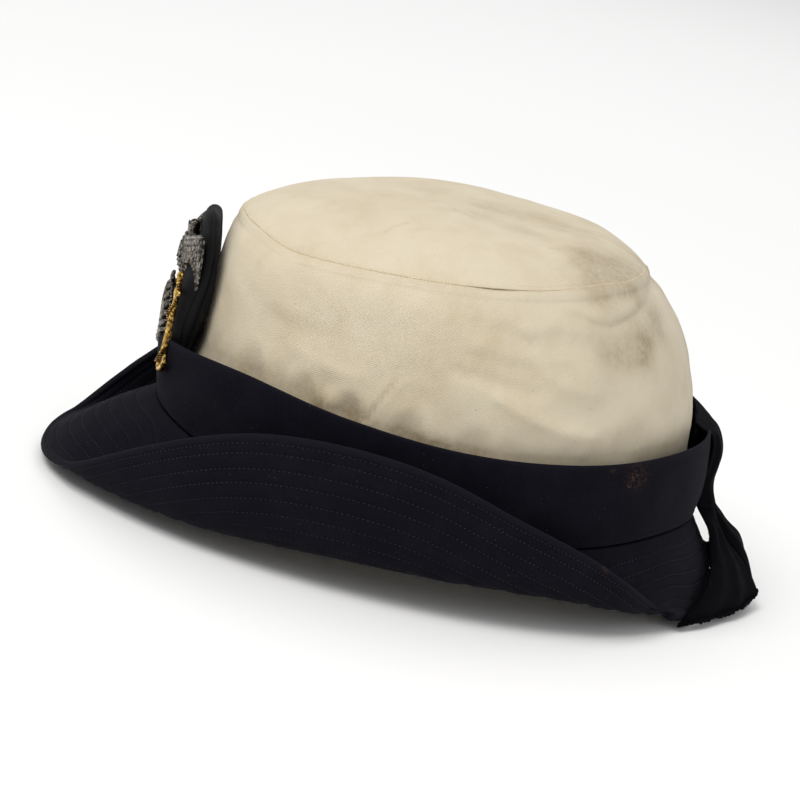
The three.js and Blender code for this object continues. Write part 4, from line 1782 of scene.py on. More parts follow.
    def _stations(self) -> Array:
        """Distances from the edge, from the band out to the edge.

        Returns:
            They fall from the brim's whole width to 0.
        """
        radius = BRIM_CLOTH / 2
        start = self.reach - np.array([0.0, 0.15, 0.5])
        rest = np.linspace(self.reach, self.even + 1.1, 38)[1:]
        return np.concatenate([start, rest, np.arange(self.even, radius, -0.55),
                               radius * CURL[::-1]])

    def _stitch_rows(self, upper: bool) -> list[tuple[Array, Array]]:
        """Paths of the rows on one face.

        Args:
            upper: the face that looks up and in towards the crown.

        Returns:
            Points and normals of each row.
        """
        turns = np.linspace(0, 1, 901)
        lengths, scale = self._lengths(turns)
        rest = (lengths - self.even * scale) / (self.reach - self.even)
        lift, way = (BRIM_CLOTH - self.sunk, 1) if upper else (self.sunk, -1)
        rows = []
        for row in self.rows:
            near = row + np.array([[0.4], [0.0], [-0.4]])
            if row > self.even:
                near = self.even + (near - self.even) / np.maximum(rest / scale, 1e-3)
            inner = np.minimum(near, self.even)
            outer = np.clip(near - self.even, 0, self.reach - self.even)
            grid = self._points(inner * scale + outer * rest, turns)
            normal = facing(grid, True)[1]
            sway = self._waves(grid[1], row * scale, lengths)
            path = grid[1] + normal * (sway + lift)[:, None]
            shown = lengths > row * scale + self.clear
            rows += [(path[run], normal[run] * way) for run in runs_of(shown) if len(run) > 4]
        return rows

    def build(self) -> None:
        """Make the brim and its stitching."""
        cloth = Cloth(
            "stitched_brim", self.surface, self._stations(),
            np.linspace(0, 1, self.columns + 1), outside=BRIM_CLOTH, sway=self._sway,
            puff=self._puff, marks={"rub_and_highlight": self._rub, "rust": self._rust})
        sewn = (dress(Stitch().sew(f"brim_stitches_{face}", self._stitch_rows(face == "upper")),
                      self.finishes.thread, Slot.SERGE) for face in ("upper", "lower"))
        cloth.lay(self.finishes.brim, Slot.SERGE, ["brim"], "stretched", "serge_band", sewn)


# --- bow
@dataclass
class Bow:
    """The ribbon bow behind: a strap over the band and two pinked tails."""

    finishes: Finishes
    crown: Crown
    teeth: int = 23
    tooth: float = 0.028
    tail_cut: tuple = (0.056, 0.058)
    tails: Pattern = Pattern(
        (0.0, 0.1, 0.2, 0.4, 0.6, 0.8, 1.0),
        inner_y=(114.6, 117.6, 120.6, 127.0, 133.6, 139.5, 143.0),
        inner_z=(31.5, 26.6, 21.0, 13.6, 8.0, 1.2, -4.0),
        outer_x=(7.6, 9.6, 13, 17, 25, 37, 52),
        outer_y=(107.8, 111.6, 116.2, 118.0, 118.6, 115.6, 106.0),
        outer_z=(31.8, 27.0, 21.4, 14.4, 8.0, 1.6, -8.5),
        bulge=(2.8, 2.9, 2.4, 2.0, 2.4, 3.0, 3.0),
        sag=(0.0, 0.0, 0.0, 0.0, 0.4, 1.6, 2.8))
    strap: Pattern = Pattern(
        (0.0, 0.1, 0.2, 0.3, 0.42, 0.54, 0.66, 0.78, 0.9, 1.0),
        y=(103.2, 106.8, 110.4, 113.3, 115.4, 116.5, 116.2, 115.7, 116.6, 119.2),
        z=(65.6, 63.8, 61.6, 58.6, 53.6, 47.6, 42.0, 36.4, 30.2, 24.4),
        half=(18, 17.4, 16.2, 14.8, 13.6, 12.8, 12.2, 11.4, 10.6, 10.9),
        centre=(-10, -8.6, -6.5, -4.4, -2.4, -1.0, -0.4, 0, 0, 0),
        bundle=(0.0, 0.0, 0.25, 0.6, 0.9, 1.15, 1.25, 1.5, 1.9, 1.8))
    noise: SoftNoise = SoftNoise(53)

    def _end_surface(self, along: Array, across: Array) -> Array:
        """Stand the ribbon's upper end between crown and band.

        Args:
            along: shares of the way down it.
            across: shares of its width.

        Returns:
            The points of its inner face.
        """
        down, share = along[:, None], across[None, :]
        x = mix(10.0, -30.0, share)
        lip = 57.0 + 8.6 * np.sin(share * math.pi * 0.78) ** 1.5
        level = self.crown.levels.row(52.0) | {"taper": 0.0}
        turn = 0.5 - np.arcsin(x / level["half"]) / TAU
        out = 1.5 + 0.5 * np.sin(share * 9) * (1 - down)
        return oval_point(**level, turn=turn, height=mix(lip, 46.0, down), out=out)

    def _strap_surface(self, along: Array, across: Array) -> Array:
        """Lead the strap from inside the band's top edge down to the pinch.

        Args:
            along: shares of the way down it.
            across: shares of its width.

        Returns:
            The points of its outer face.
        """
        down, side = along[:, None], 1 - 2 * across[None, :]
        read = self.strap.row(down)
        bundle = read["bundle"]
        x = read["centre"] + side * read["half"]
        folds = np.cos(side * TAU * 1.35 + down * 2.0) + 0.5 * np.cos(side * TAU * 2.6 + 1.0)
        pleat = 0.5 * folds * np.minimum(bundle, 1) * (1 - side ** 4)
        y = read["y"] - x * x / 135 + pleat - 4.0 * bundle * np.abs(side) ** 2.6
        return xyz(x, y, read["z"] - 2.6 * (side + 1) * (1 - bundle))

    def _strap_depth(self, points: Array) -> Array:
        """Thicken the strap's folds as far as the band behind them.

        Args:
            points: places on the strap.

        Returns:
            How thick it is at each.
        """
        x, y, z = np.moveaxis(points, -1, 0)
        # the band's own face behind the strap, from its top edge down
        down = np.clip((58.5 - z) / 33.5, 0, 1)
        round_off = np.sqrt(np.maximum(0.2, 1 - (x / self.crown.band.half) ** 2))
        face = 4.25 + (106.2 + 7.2 * down * (1 - down)) * round_off
        full = np.clip(y - face, 0.9, 6.0)
        return mix(1.0, full, step(60.5, 56.5, z)) * mix(0.45, 1.0, step(25.5, 33.0, z))

    def _tail_surface(self, side: Side) -> Surface:
        """Say how one tail hangs.

        Args:
            side: the side it hangs on.

        Returns:
            The rule of its upper face.
        """
        way = side.value

        def surface(along: Array, across: Array) -> Array:
            """Follow the tail from the pinch down to its pinked end.

            Args:
                along: shares of the way down it.
                across: shares of its width.

            Returns:
                The points.
            """
            share, rows = across[None, :], along[:, None]
            k = 1 - share if side is Side.LEFT else share
            notch = np.abs((k * self.teeth) % 1 - 0.5) * 2
            down = rows * (1 - self.tooth * notch)
            nick = np.abs((rows * 17) % 1 - 0.5) * 2 * step(0.2, 0.3, down)
            read = self.tails.row(down)
            x = mix(way * (RIBBON / 2 + GAP), way * read["outer_x"], k)
            x = x - way * 0.8 * nick * step(0.9, 1.0, k)
            y = mix(read["inner_y"], read["outer_y"], k) + read["bulge"] * 4 * k * (1 - k)
            z = mix(read["inner_z"], read["outer_z"], k)
            z = z - read["sag"] * (4 * k * (1 - k)) ** 0.5 * (1 - k) * 1.4
            if side is Side.RIGHT:
                arch = np.sin(math.pi * np.clip(down, 0, 1)) ** 0.8
                z = z + 6.0 * arch * np.sin(math.pi * np.clip(k, 0, 1)) ** 0.7
                y = y + (3.0 * bell(down - 0.5, 0.2) + 10.5 * step(0.35, 0.8, down)) * k
            crease = np.sin(k * TAU * 2.4 + down * 1.6 + way) * (1 - k * 0.3)
            fade = step(0.12, 0.3, down) * (1 - 0.55 * down) * step(0, 0.12, k) * step(1, 0.88, k)
            return xyz(x, y + 0.8 * crease * fade, z)

        return surface

    def _sway(self, points: Array) -> Array:
        """Small uneven creases."""
        return self.noise.layers(points, (0.30, (9, 9, 13), 0), (0.10, 4.0, 9))

    def _small_sway(self, points: Array) -> Array:
        """Faint creases of the standing end."""
        return 0.15 * self.noise.at(points + 3, 6.0)

    def _rub(self, points: Array) -> Array:
        """Ribs rubbed on the ribbon's ridges."""
        return np.clip(0.5 + self.noise.at(points + 21, 8.0), 0, 1) * 0.6

    def _tail(self, side: Side) -> None:
        """Make one tail.

        Args:
            side: the side it hangs on.
        """
        name = side.name.lower()
        rounds = np.array([0.0, 0.002, 0.006])
        columns = np.linspace(0, 1, self.teeth * 8 + 1)[1:-1]
        cloth = Cloth(
            f"bow_ribbon_tail_{name}", self._tail_surface(side), np.concatenate([
                stations(52, RIBBON / 2, 66)[:-6], np.linspace(0.957, 0.99, 9),
                [0.995, 0.998, 0.9993, 1.0]]),
            np.concatenate([rounds, columns, 1 - rounds[::-1]]),
            inside=RIBBON, wrap=False, sway=self._sway, marks={"rub_and_highlight": self._rub},
            cut=self.tail_cut)
        cloth.lay(self.finishes.ribbon, Slot.RIBBON, [f"bow_tail_{name}"], "hung",
                  "bow_ribbon_strap")

    def build(self) -> None:
        """Make the bow's four pieces."""
        strap = Cloth(
            "bow_ribbon_strap", self._strap_surface, stations(52, 0.7, 90),
            stations(25, 0.5, 90), inside=self._strap_depth, wrap=False,
            marks={"rub_and_highlight": self._rub})
        strap.lay(self.finishes.ribbon, Slot.RIBBON, ["bow_knot"], "folded", "serge_band")
        end = Cloth(
            "bow_ribbon_end", self._end_surface, stations(18, 0.5, 30),
            stations(40, 0.5, 60), outside=RIBBON, wrap=False, sway=self._small_sway,
            marks={"rub_and_highlight": self._rub})
        end.lay(self.finishes.ribbon, Slot.RIBBON, ["bow_end"], "stretched",
                "cotton_crown_side")
        for side in Side:
            self._tail(side)


# --- badge
@dataclass
class Model:
    """A small shape modelled once, in mm, to be copied."""

    points: Array
    faces: list[list[int]]


class Anvil:
    """Models small metal shapes with their start at the origin."""

    @staticmethod
    def take(piece: Piece) -> Model:
        """Read a finished small shape and clear it off the anvil.

        Args:
            piece: the shape.

        Returns:
            Its points and faces.
        """
        close_up(piece, 1e-4)
        model = Model(coordinates(piece), [list(p.vertices) for p in piece.data.polygons])
        bpy.data.meshes.remove(piece.data)
        return model

    @staticmethod
    def work(piece: Piece, where: Rule, size: Colour, middle: Colour, out: float = 0.0) -> None:
        """Take points by their place, then stretch and move them in edit mode.

        Args:
            piece: the piece, in object mode.
            where: says of each point whether it is taken.
            size: how far they stretch along x, y and z.
            middle: the place that the stretching leaves alone.
            out: how far they move along y after it.
        """
        mesh = piece.data
        taken = where(coordinates(piece))
        edges = np.empty(len(mesh.edges) * 2, int)
        mesh.edges.foreach_get("vertices", edges)
        mesh.vertices.foreach_set("select", taken)
        mesh.edges.foreach_set("select", taken[edges.reshape(-1, 2)].all(1))
        mesh.polygons.foreach_set(
            "select", [bool(taken[list(p.vertices)].all()) for p in mesh.polygons])
        bpy.ops.object.mode_set(mode="EDIT")
        bpy.ops.transform.resize(value=size, center_override=middle)
        bpy.ops.transform.translate(value=(0, out, 0))
        bpy.ops.object.mode_set(mode="OBJECT")

    def drawn(self, profile: Sequence[Sequence[float]], sides: int = 12) -> Model:
        """Draw a round bar up from a disc.

        Args:
            profile: height and radius of each section, and its x and y if not 0.
            sides: how many sides it has.

        Returns:
            The bar.
        """
        sections = [(*section, 0, 0)[:4] for section in profile]
        z, r, x, y = sections[0]
        piece = fresh(bpy.ops.mesh.primitive_circle_add, vertices=sides, radius=r,
                      fill_type="NGON")
        with edit_all():
            bpy.ops.transform.translate(value=(x, y, z))
            for (z, r, x, y), (z2, r2, x2, y2) in zip(sections, sections[1:]):
                bpy.ops.mesh.extrude_region_move(
                    TRANSFORM_OT_translate={"value": (x2 - x, y2 - y, z2 - z)})
                bpy.ops.transform.resize(value=(r2 / r, r2 / r, 1))
        return self.take(piece)

    def ball(self, segments: int = 12, rings: int = 8) -> Model:
        """Model a small cast ball with a flattened back.

        Args:
            segments: how many sides it has.
            rings: how many steps from pole to pole.

        Returns:
            The ball, 1 in radius.
        """
        piece = fresh(bpy.ops.mesh.primitive_uv_sphere_add, segments=segments,
                      ring_count=rings, radius=1)
        self.work(piece, lambda p: p[:, 1] > 0.3, (1, 0.5, 1), (0, 0.3, 0))
        return self.take(piece)

    def feather(self) -> Model:
        """Model a feather 1 wide and 1 long that hangs down, its quill in front.

        Returns:
            The feather.
        """
        piece = fresh(bpy.ops.mesh.primitive_grid_add, x_subdivisions=2, y_subdivisions=4,
                      size=1)
        with edit_all():
            bpy.ops.transform.rotate(value=math.pi / 2, orient_axis="X", center_override=(0, 0, 0))
            bpy.ops.transform.translate(value=(0, -0.11, -0.5))
            bpy.ops.mesh.extrude_region_move(TRANSFORM_OT_translate={"value": (0, 0.22, 0)})
        same, root = (1, 1, 1), (0, 0, 0)
        for shape in (
                (lambda p: p[:, 2] < -0.9, (0.22, 0.5, 1), (0, 0, -1)),
                (lambda p: np.abs(p[:, 2] + 0.75) < 0.1, (0.8, 0.8, 1), (0, 0, -0.75)),
                (lambda p: p[:, 2] > -0.1, (0.55, 1, 1), root),
                (lambda p: (np.abs(p[:, 0]) < 0.1) & (p[:, 1] < 0), same, root, -0.16),
                (lambda p: (np.abs(p[:, 0]) < 0.1) & (p[:, 2] < -0.9), same, root, -0.05)):
            self.work(piece, *shape)
        return self.take(piece)

    def fluke(self) -> Model:
        """Model an anchor's fluke, a pointed plate that stands up along z.

        Returns:
            The fluke.
        """
        piece = fresh(bpy.ops.mesh.primitive_cube_add, size=1)
        with edit_all():
            bpy.ops.transform.resize(value=(3.4, 1.1, 4.4))
            bpy.ops.transform.translate(value=(0, 0, 2.2))
            bpy.ops.mesh.subdivide(number_cuts=2)
        self.work(piece, lambda p: p[:, 2] > 4.2, (0.12, 0.4, 1), (0, 0, 4.4))
        self.work(piece, lambda p: np.abs(p[:, 2] - 2.93) < 0.2, (0.7, 0.9, 1), (0, 0, 2.9))
        self.work(piece, lambda p: p[:, 2] < 0.1, (0.5, 1, 1), (0, 0, 0))
        pick(piece)
        round_off = piece.modifiers.new("round", "BEVEL")
        round_off.width, round_off.segments = 0.18, 2
        bpy.ops.object.modifier_apply(modifier="round")
        return self.take(piece)

    def arc(self, radius: float, thick: float, start: float, sweep: float,
            taper: float = 1.0) -> Model:
        """Bend a round bar in the plane of x and z, its centre at the origin.

        Args:
            radius: of its middle line.
            thick: radius of the bar.
            start: angle of its start from straight down, in degrees.
            sweep: how far it goes round.
            taper: how thick its ends are beside its middle.

        Returns:
            The bar.
        """
        piece = fresh(bpy.ops.mesh.primitive_circle_add, vertices=10, radius=thick,
                      fill_type="NGON")
        with edit_all():
            bpy.ops.transform.rotate(value=math.pi / 2, orient_axis="Y", center_override=(0, 0, 0))
            bpy.ops.transform.translate(value=(0, 0, -radius))
            bpy.ops.mesh.spin(steps=max(4, round(abs(sweep) / 9)), angle=math.radians(sweep),
                              center=(0, 0, 0), axis=(0, 1, 0))
        model = self.take(piece)
        c, s = math.cos(math.radians(start)), math.sin(math.radians(start))
        turned = model.points @ np.array([[c, 0, s], [0, 1, 0], [-s, 0, c]])
        angle = np.degrees(np.arctan2(turned[:, 0], -turned[:, 2]))
        reach = np.hypot(turned[:, 0], turned[:, 2])
        half = max(1e-6, np.ptp(angle) / 2)
        share = np.abs(angle - (angle.max() + angle.min()) / 2) / half
        slim = mix(1.0, taper, share ** 2)
        scale = (radius + (reach - radius) * slim) / np.maximum(reach, 1e-6)
        return Model(turned * xyz(scale, slim, scale), model.faces)


class Casting:
    """Copies of small shapes, gathered into one metal piece."""

    def __init__(self) -> None:
        """Start with an empty mould."""
        self.points: list[Array] = []
        self.faces: list[list[int]] = []
        self.count = 0

    def add(self, model: Model, spot: Sequence[float], turn: Sequence[float] = (0, 0, 0),
            size: Sequence[float] | float = 1.0, mirror: bool = False) -> None:
        """Copy a model into the piece.

        Args:
            model: what is copied.
            spot: where its origin goes.
            turn: its turns about x, y and z, in degrees.
            size: how much it grows, before it is turned.
            mirror: whether it goes to the other side of the badge.
        """
        turned = np.array(Euler([math.radians(t) for t in turn]).to_matrix())
        made = (model.points * size) @ turned.T + spot
        faces = model.faces
        if mirror:
            made = made * (-1, 1, 1)
            faces = [face[::-1] for face in faces]
        self.points.append(made)
        self.faces += [[c + self.count for c in face] for face in faces]
        self.count += len(made)

    def piece(self, name: str, bend: float) -> Piece:
        """Cast the piece, bent to the badge's curve and set on the hat.

        Args:
            name: the piece's name.
            bend: twice the radius of that curve.

        Returns:
            The piece, with a mark of how far it looks forward.
        """
        points = np.concatenate(self.points)
        points[:, 1] += points[:, 0] ** 2 / bend
        mesh = bpy.data.meshes.new(name)
        mesh.from_pydata(STANCE.place(points).tolist(), [], self.faces)
        mesh.update()
        piece = bpy.data.objects.new(name, mesh)
        bpy.context.collection.objects.link(piece)
        pick(piece)
        bpy.ops.object.shade_smooth_by_angle(angle=math.radians(50))
        normal = np.empty(len(mesh.vertices) * 3, np.float32)
        mesh.vertex_normals.foreach_get("vector", normal)
        front = STANCE.turned(np.array([0.0, -1.0, 0.0]))
        # this mark drives painted light and shade in the metal, lighter where faces turn to the
        # front
        write_mark(piece, "facing_front", normal.reshape(-1, 3) @ front * 0.5 + 0.5)
        return piece


@dataclass
class Badge:
    """A padded badge: a sea bird over a shell, between two upright anchors."""

    finishes: Finishes
    bend: float = 144.0
    seat: float = -102.4
    rows: Pattern = Pattern(
        (41, 52, 57, 61, 67, 73, 78, 83, 90, 98, 105),
        front=(-101.4, -101.5, -101.8, -102.6, -102.9, -102.2, -100.8, -99.0, -97.8,
               -97.2, -96.6),
        back=(-96.0, -94.5, -93.8, -92.8, -91.2, -90.5, -90.3, -90.6, -91.2, -91.6, -91.6),
        half=(17.0, 19.0, 20.4, 21.4, 22.8, 23.6, 24.0, 23.7, 23.0, 20.6, 18.0))
    end: float = 3.2
    wing_tips: Pattern = Pattern(
        (0.0, 0.25, 0.5, 0.75, 0.88, 1.0),
        x=(4.6, 9.2, 14.2, 18.6, 20.9, 22.6), z=(84.0, 84.8, 85.0, 83.2, 80.8, 77.6))
    anchor: tuple = (22.4, 45.4, 80.8)
    noise: SoftNoise = SoftNoise(83)

    def __post_init__(self) -> None:
        """Model the shapes that the badge repeats."""
        self.anvil = Anvil()
        self.feather = self.anvil.feather()
        self.ball = self.anvil.ball()
        self.bead = self.anvil.ball(8, 5)

    # --- pad
    def _pad_points(self, rows: int, columns: int) -> Array:
        """Lay rings round the pad from its top to its foot.

        Args:
            rows: how many rings.
            columns: how many points in each, the last on the first.

        Returns:
            The points.
        """
        low, high = self.rows.keys[0], self.rows.keys[-1]
        even = np.linspace(0, 1, rows)
        edge = np.sin((even - 0.5) * math.pi) * 0.5 + 0.5
        height = mix(high, low, mix(even, edge, 0.55))[:, None]
        gap = np.minimum(high - height, height - low)
        full = np.sqrt(np.clip(1 - (1 - np.clip(gap / self.end, 0, 1)) ** 2, 0, 1))
        read = self.rows.row(height)
        crown = np.clip((high - height) / 15.0, 0, 1)
        half = read["half"] * mix(0.42, 1.0, np.sqrt(1 - (1 - crown) ** 2))
        half = half - self.end * (1 - full)
        angle = np.linspace(0, TAU, columns)[None, :]
        c, s = np.cos(angle), np.sin(angle)
        x = np.sign(c) * np.abs(c) ** 0.42 * half
        middle, thick = (read["front"] + read["back"]) / 2, read["back"] - read["front"]
        depth = np.sign(s) * np.abs(s) ** 0.72
        rim = step(0.72, 0.98, np.abs(x) / np.maximum(half, 1e-6))
        for layer, deep in ((-0.36, 0.75), (0.22, 0.95), (0.62, 0.5)):
            x = x - np.sign(x) * deep * rim * full * bell(depth - layer, 0.13)
        puff = 1 - np.clip(np.abs(x) / np.maximum(half, 1e-6), 0, 1) ** 4
        y = middle + (depth * thick / 2 + s * 0.5 * puff) * full
        return xyz(x, y + x * x / self.bend, height)

    def _pad(self) -> None:
        """Stuff the felt pad, its layers showing at its rim."""
        points = self._pad_points(130, 161)
        soft = self.noise.layers(points, (0.30, (14, 14, 20), 0), (0.16, (4, 4, 16), 30))
        points[1:-1] += (facing(points, True) * soft[..., None])[1:-1]
        points[:, -1] = points[:, 0]
        piece = grid_piece("felt_badge_pad", points)
        # painted highlight: the pad's top is marked to be lighter
        write_mark(piece, "rub_and_highlight", step(0.0, 9.0, points[..., 2] - 96) * 0.6)
        write_uv(piece, read_uv(piece) * (0.10, 0.064))
        close_up(piece)
        dress(piece, self.finishes.pad, Slot.PAD, "badge_pad")

    # --- crest
    def _bird(self, cast: Casting) -> None:
        """Model the bird's body, head and feet, and lay its feathers.

        Args:
            cast: the crest's casting.
        """
        y = self.seat + 3.2
        body = self.anvil.drawn((
            (77.4, 0.4, 0, 0.9), (79, 2.1, 0, 0.5), (82, 4.0, 0, 0.1), (85.5, 4.9, 0, -0.2),
            (89.5, 4.6, 0, -0.3), (92.2, 3.7, 0, -0.3), (94.0, 2.8, 0, -0.6),
            (95.4, 2.4, 0.1, -1.0), (97.0, 2.5, 0.3, -1.1), (98.4, 2.1, 0.4, -1.0),
            (99.3, 1.2, 0.4, -0.9), (99.6, 0.3, 0.4, -0.9)), 20)
        cast.add(body, (0, y, 0), size=(1, 0.95, 1))
        beak = self.anvil.drawn((
            (0, 1.25), (1.0, 1.2), (2.2, 0.95, 0.2), (3.2, 0.65, 0.7), (3.8, 0.3, 1.3)), 10)
        cast.add(beak, (1.9, y - 1.2, 97.3), (0, 90, 0), (1, 0.8, 1))
        leg = self.anvil.drawn(((0, 1.1), (-2.4, 0.8, 0.2, -0.4), (-4.6, 0.7, 0.5, -0.9)), 8)
        for side in (False, True):
            cast.add(self.bead, (1.4, y - 3.1, 97.9), size=0.42, mirror=side)
            cast.add(leg, (1.7, y - 1.2, 81.2), mirror=side)
            for toe in (-1, 0, 1):
                cast.add(self.bead, (2.3 + toe * 0.85, y - 2.7, 76.7 - 0.2 * toe),
                         size=(0.45, 0.8, 0.95), mirror=side)
        for row in range(8):
            z = 80.6 + row * 1.75
            radius = np.interp(z, (79, 82, 85.5, 89.5, 92.2, 95.4), (2.1, 4.0, 4.9, 4.6, 3.7, 2.4))
            number = 7 if row < 7 else 5
            for i in range(number):
                angle = (i - (number - 1) / 2 + 0.25 * (row % 2)) * 25
                out = math.radians(angle)
                spot = (radius * math.sin(out), y - 0.2 - 0.95 * radius * math.cos(out), z + 1)
                cast.add(self.feather, spot, (-6, 0, angle), (1.9, 1.8, 2.9))
        for i in range(5):
            cast.add(self.feather, ((i - 2) * 0.9, y + 0.8, 81), (0, (2 - i) * 9, 0),
                     (2.0, 1.8, 6.0))

    def _wing(self, cast: Casting, mirror: bool) -> None:
        """Set one wing's long feathers below three rows of short ones.

        Args:
            cast: the crest's casting.
            mirror: whether it is the right wing.
        """
        def face(x: float) -> float:
            """How far out the wing stands at x."""
            return self.seat + 0.5 + 0.115 * x

        def top(x: float) -> float:
            """How high the wing's upper edge is at x."""
            return 91.6 + 6.4 * (max(x, 0.0) / 22) ** 1.3

        for i in range(11):
            t = i / 10
            x = mix(2.6, 21.2, t)
            z = top(x) - 1.0
            tip = self.wing_tips.row(t)
            lean = math.degrees(math.atan2(tip["x"] - x, z - tip["z"]))
            cast.add(self.feather, (x, face(x) + 1.0 - 0.03 * i, z), (1.5, -lean, 0),
                     (2.8, 3.2, math.dist((x, z), (tip["x"], tip["z"]))), mirror)
        for row, (number, length, out, drop) in enumerate((
                (10, 8.4, 0.4, 0.9), (11, 5.6, -0.2, 0.5), (12, 3.2, -0.7, 0.2))):
            for i in range(number):
                t = (i + 0.4 * (row % 2)) / (number - 0.6)
                x = mix(2.4, 21.2, t)
                cast.add(self.feather, (x, face(x) + out, top(x) - drop),
                         (-4, -4 - 10 * t, 0), (2.3, 2.8, length), mirror)
        edge = self.anvil.drawn([
            (x, radius, 92.0 - top(x), 0.115 * x)
            for x, radius in ((1, 0.5), (4, 1.0), (9, 1.05), (14, 1.0), (18.5, 0.95),
                              (21.4, 0.85), (22.6, 0.4))], 10)
        cast.add(edge, (0, self.seat, 92.0), (0, 90, 0), mirror=mirror)

    def _shell(self, cast: Casting) -> None:
        """Set the fluted shell under the bird, its rim in beads.

        Args:
            cast: the crest's casting.
        """
        seat, root, rise = self.seat - 1.6, 51.4, 10.5
        middle, wide, tall = 62.6, 11.5, 12.0
        inset = round(1 - (rise / tall) ** 2, 3)
        cast.add(self.anvil.ball(32, 16), (0, seat + 0.7, middle), size=(11.6, 2.3, 12.4))
        rib = self.anvil.drawn((
            (0, 0.35, 0, 0), (4, 0.62, 0, -1.0), (9, 0.86, 0, -1.7), (14, 1.1, 0, -1.9),
            (18, 1.3, 0, -1.5), (20.6, 1.35, 0, -0.9), (21.8, 0.9, 0, -0.4),
            (22.2, 0.3, 0, -0.2)), 10)
        for i in range(15):
            # a rib ends at the oval rim, whose middle is the rise over its root
            a = math.radians(-70 + i * 10)
            over = (math.sin(a) / wide) ** 2 + (math.cos(a) / tall) ** 2
            across = rise * math.cos(a) / tall ** 2
            length = (across + math.sqrt(across ** 2 + over * inset)) / over
            cast.add(rib, (0, seat - 0.1, root), (0, math.degrees(a), 0),
                     (0.88, 1, length * 1.05 / 22.2))
        for i in range(44):
            a = math.radians(-150 + i * 300 / 43)
            spot = (12.1 * math.sin(a), seat - 0.2, middle + 12.7 * math.cos(a))
            cast.add(self.bead, spot, size=0.72)
        for x, size in ((0, 1.7), (2.4, 1.35), (-2.4, 1.35), (4.3, 1.0), (-4.3, 1.0)):
            cast.add(self.ball, (x, seat - 1.0, 51.0 + abs(x) * 0.12), size=size)
        for i in range(11):
            cast.add(self.bead, ((i - 5) * 1.15, seat - 0.6, 76.0), (0, 38, 0), (0.75, 1.0, 1.35))

    # --- anchors
    def _anchor(self, cast: Casting, mirror: bool) -> None:
        """Stand one anchor up, with its rope.

        Args:
            cast: the anchor's casting.
            mirror: whether it is the right one.
        """
        x, low, high = self.anchor
        anvil, part = self.anvil, Casting()
        span = high - low
        bar = span - 5.8
        part.add(anvil.drawn((
            (-1.4, 0.3), (-0.6, 1.2), (0.8, 1.75), (2.2, 1.6), (3.0, 1.35), (span * 0.5, 1.15),
            (span - 7.4, 1.0), (span - 7.0, 1.35), (span - 4.6, 1.35), (span - 4.2, 1.0),
            (span - 2.8, 0.95), (span - 2.2, 0.5)), 14), (0, 0, 0))
        part.add(anvil.arc(2.1, 0.62, 0, 351), (0, 0, span - 0.4))
        part.add(anvil.arc(7.4, 1.35, -59, 118, 0.6), (0, 0, 7.2))
        for way in (-1, 1):
            part.add(anvil.fluke(), (way * 5.4, -0.3, 2.4), (0, way * 24, 0))
            part.add(self.ball, (way * 5.6, 0, bar), size=1.15)
            for ring in (1.9, 3.6):
                part.add(self.bead, (way * ring, 0, bar), size=(0.35, 1.05, 1.05))
        part.add(anvil.drawn(((-5.2, 0.7), (-3, 0.85), (0, 1.1), (3, 0.85), (5.2, 0.7)), 10),
                 (0, 0, bar), (0, 90, 0))
        self._rope(part, span)
        points = np.concatenate(part.points)
        points[:, 1] += 0.05 * points[:, 2]
        cast.add(Model(points, part.faces), (x, self.seat - 3.8, low), (0, -7, -11),
                 mirror=mirror)

    def _rope(self, part: Casting, span: float) -> None:
        """Lay the rope's strands slanted, from the ring down round the shank.

        Args:
            part: the anchor's casting.
            span: the anchor's height.
        """
        keys = (0, 0.08, 0.2, 0.36, 0.5, 0.64, 0.8, 0.9, 1.0)
        side = (1.2, 2.6, 3.0, -0.4, -2.9, -1.0, 2.9, 3.4, 1.2)
        front = (-1.0, -0.6, 0.1, -1.7, 0.2, 1.2, -0.2, -1.5, -1.9)
        high = (span + 1.4, span - 0.4, span - 8.5, span * 0.60, span * 0.46, span * 0.36,
                span * 0.24, span * 0.14, span * 0.06)
        path = xyz(*(np.interp(np.linspace(0, 1, 400), keys, v) for v in (side, front, high)))
        path = softened(path, np.exp(-np.linspace(-2, 2, 61) ** 2))
        run = running(path)
        for at in np.arange(0.4, run[-1], 1.1):
            spot, ahead = on_path(np.array([at, at + 0.4]), run, path)
            lean = math.degrees(math.atan2(ahead[0] - spot[0], spot[2] - ahead[2]))
            part.add(self.bead, spot, (0, 52 - lean, 0), (0.40, 1.05, 1.25))

    def build(self) -> None:
        """Make and dress the pad, the crest and the anchors."""
        self._pad()
        crest = Casting()
        self._shell(crest)
        self._bird(crest)
        for mirror in (False, True):
            self._wing(crest, mirror)
        dress(crest.piece("sea_bird_crest", self.bend), self.finishes.silver, Slot.SILVER,
              "badge_crest")
        for side in Side:
            cast = Casting()
            self._anchor(cast, side is Side.RIGHT)
            name = side.name.lower()
            dress(cast.piece(f"gilt_anchor_{name}", self.bend), self.finishes.gold, Slot.GOLD,
                  f"badge_anchor_{name}")


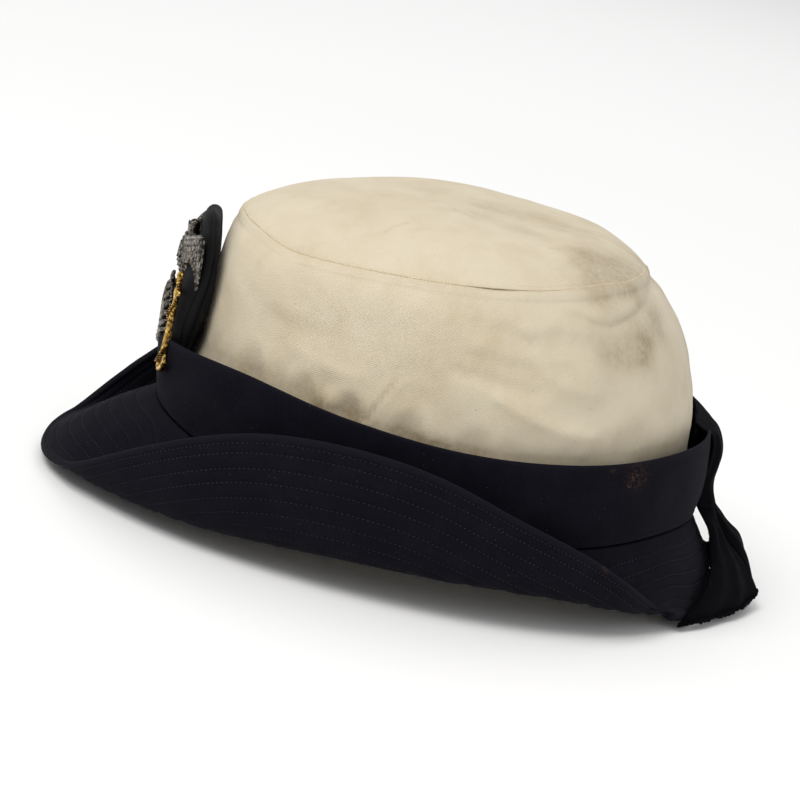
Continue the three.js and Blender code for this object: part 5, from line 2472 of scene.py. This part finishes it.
# --- studio
@dataclass
class Studio:
    """Plain pale floor, soft lights and the camera."""

    azimuth: float = 85.5
    elevation: float = 15.0
    roll: float = 14.0
    distance: float = 1.25
    aim: tuple = (0.0, -0.01154, 0.05083)
    lens: float = 146.1

    def _floor(self) -> None:
        """Lay the floor just under the hat."""
        floor = fresh(bpy.ops.mesh.primitive_plane_add, size=12)
        floor.name = "studio_floor"
        floor.data.materials.append(FloorPaper().make())

    def _light(self, name: str, spot: Colour, size: float, power: float,
               colour: Colour = (1.0, 1.0, 1.0)) -> None:
        """Hang one soft square light that looks at the hat.

        Args:
            name: the light's name.
            spot: where it hangs, in metres.
            size: the length of its sides.
            power: in watts.
            colour: its colour.
        """
        lamp = fresh(bpy.ops.object.light_add, type="AREA", location=spot)
        lamp.name = name
        lamp.data.size, lamp.data.energy, lamp.data.color = size, power, colour
        way = Vector(self.aim) - Vector(spot)
        lamp.rotation_euler = way.to_track_quat("-Z", "Y").to_euler()

    def _camera(self) -> None:
        """Set the camera up, rolled about its line of sight."""
        a, e, r = (math.radians(v) for v in (self.azimuth, self.elevation, self.roll))
        right = Vector((math.cos(a), math.sin(a), 0))
        back = Vector((math.sin(a) * math.cos(e), -math.cos(a) * math.cos(e), math.sin(e)))
        up = back.cross(right)
        across = right * math.cos(r) + up * math.sin(r)
        rise = up * math.cos(r) - right * math.sin(r)
        camera = fresh(bpy.ops.object.camera_add)
        camera.name = "studio_camera"
        turn = Matrix((across, rise, back)).transposed().to_4x4()
        camera.matrix_world = Matrix.Translation(Vector(self.aim) + back * self.distance) @ turn
        camera.data.lens, camera.data.sensor_width = self.lens, 36.0
        camera.data.clip_start, camera.data.clip_end = 0.01, 50.0
        bpy.context.scene.camera = camera

    def build(self) -> None:
        """Set the studio up."""
        self._floor()
        self._camera()
        self._light("key_light", (0.9, -0.9, 1.9), 1.3, 31.0, (1.0, 0.99, 0.97))
        self._light("fill_light", (1.6, 0.7, 0.9), 1.4, 3.6, (0.97, 0.985, 1.0))
        self._light("back_light", (-1.5, 0.4, 1.5), 1.4, 8.0)
        world = bpy.data.worlds.new("pale_room")
        bpy.context.scene.world = world
        world.use_nodes = True
        backdrop = world.node_tree.nodes["Background"]
        backdrop.inputs[0].default_value = (1.0, 1.0, 1.0, 1.0)
        backdrop.inputs[1].default_value = 0.58
        bpy.context.scene.view_settings.view_transform = "Standard"


def main() -> None:
    """Build the hat piece by piece, then its studio."""
    logging.basicConfig(level=logging.INFO, format="%(message)s", stream=sys.stdout)
    finishes = Finishes()
    band = HatBand(finishes)
    STANCE.settle(band.surface(np.array([0, 1 / 3, 2 / 3, 1]), np.arange(57) / 56), "hat_band")
    LOG.info("stance shift %s mm", np.round(STANCE.shift, 3))
    crown = Crown(finishes, band)
    for part in (crown, band, Brim(finishes, band), Bow(finishes, crown),
                 Badge(finishes), Studio()):
        part.build()


if __name__ == "__main__":
    main()
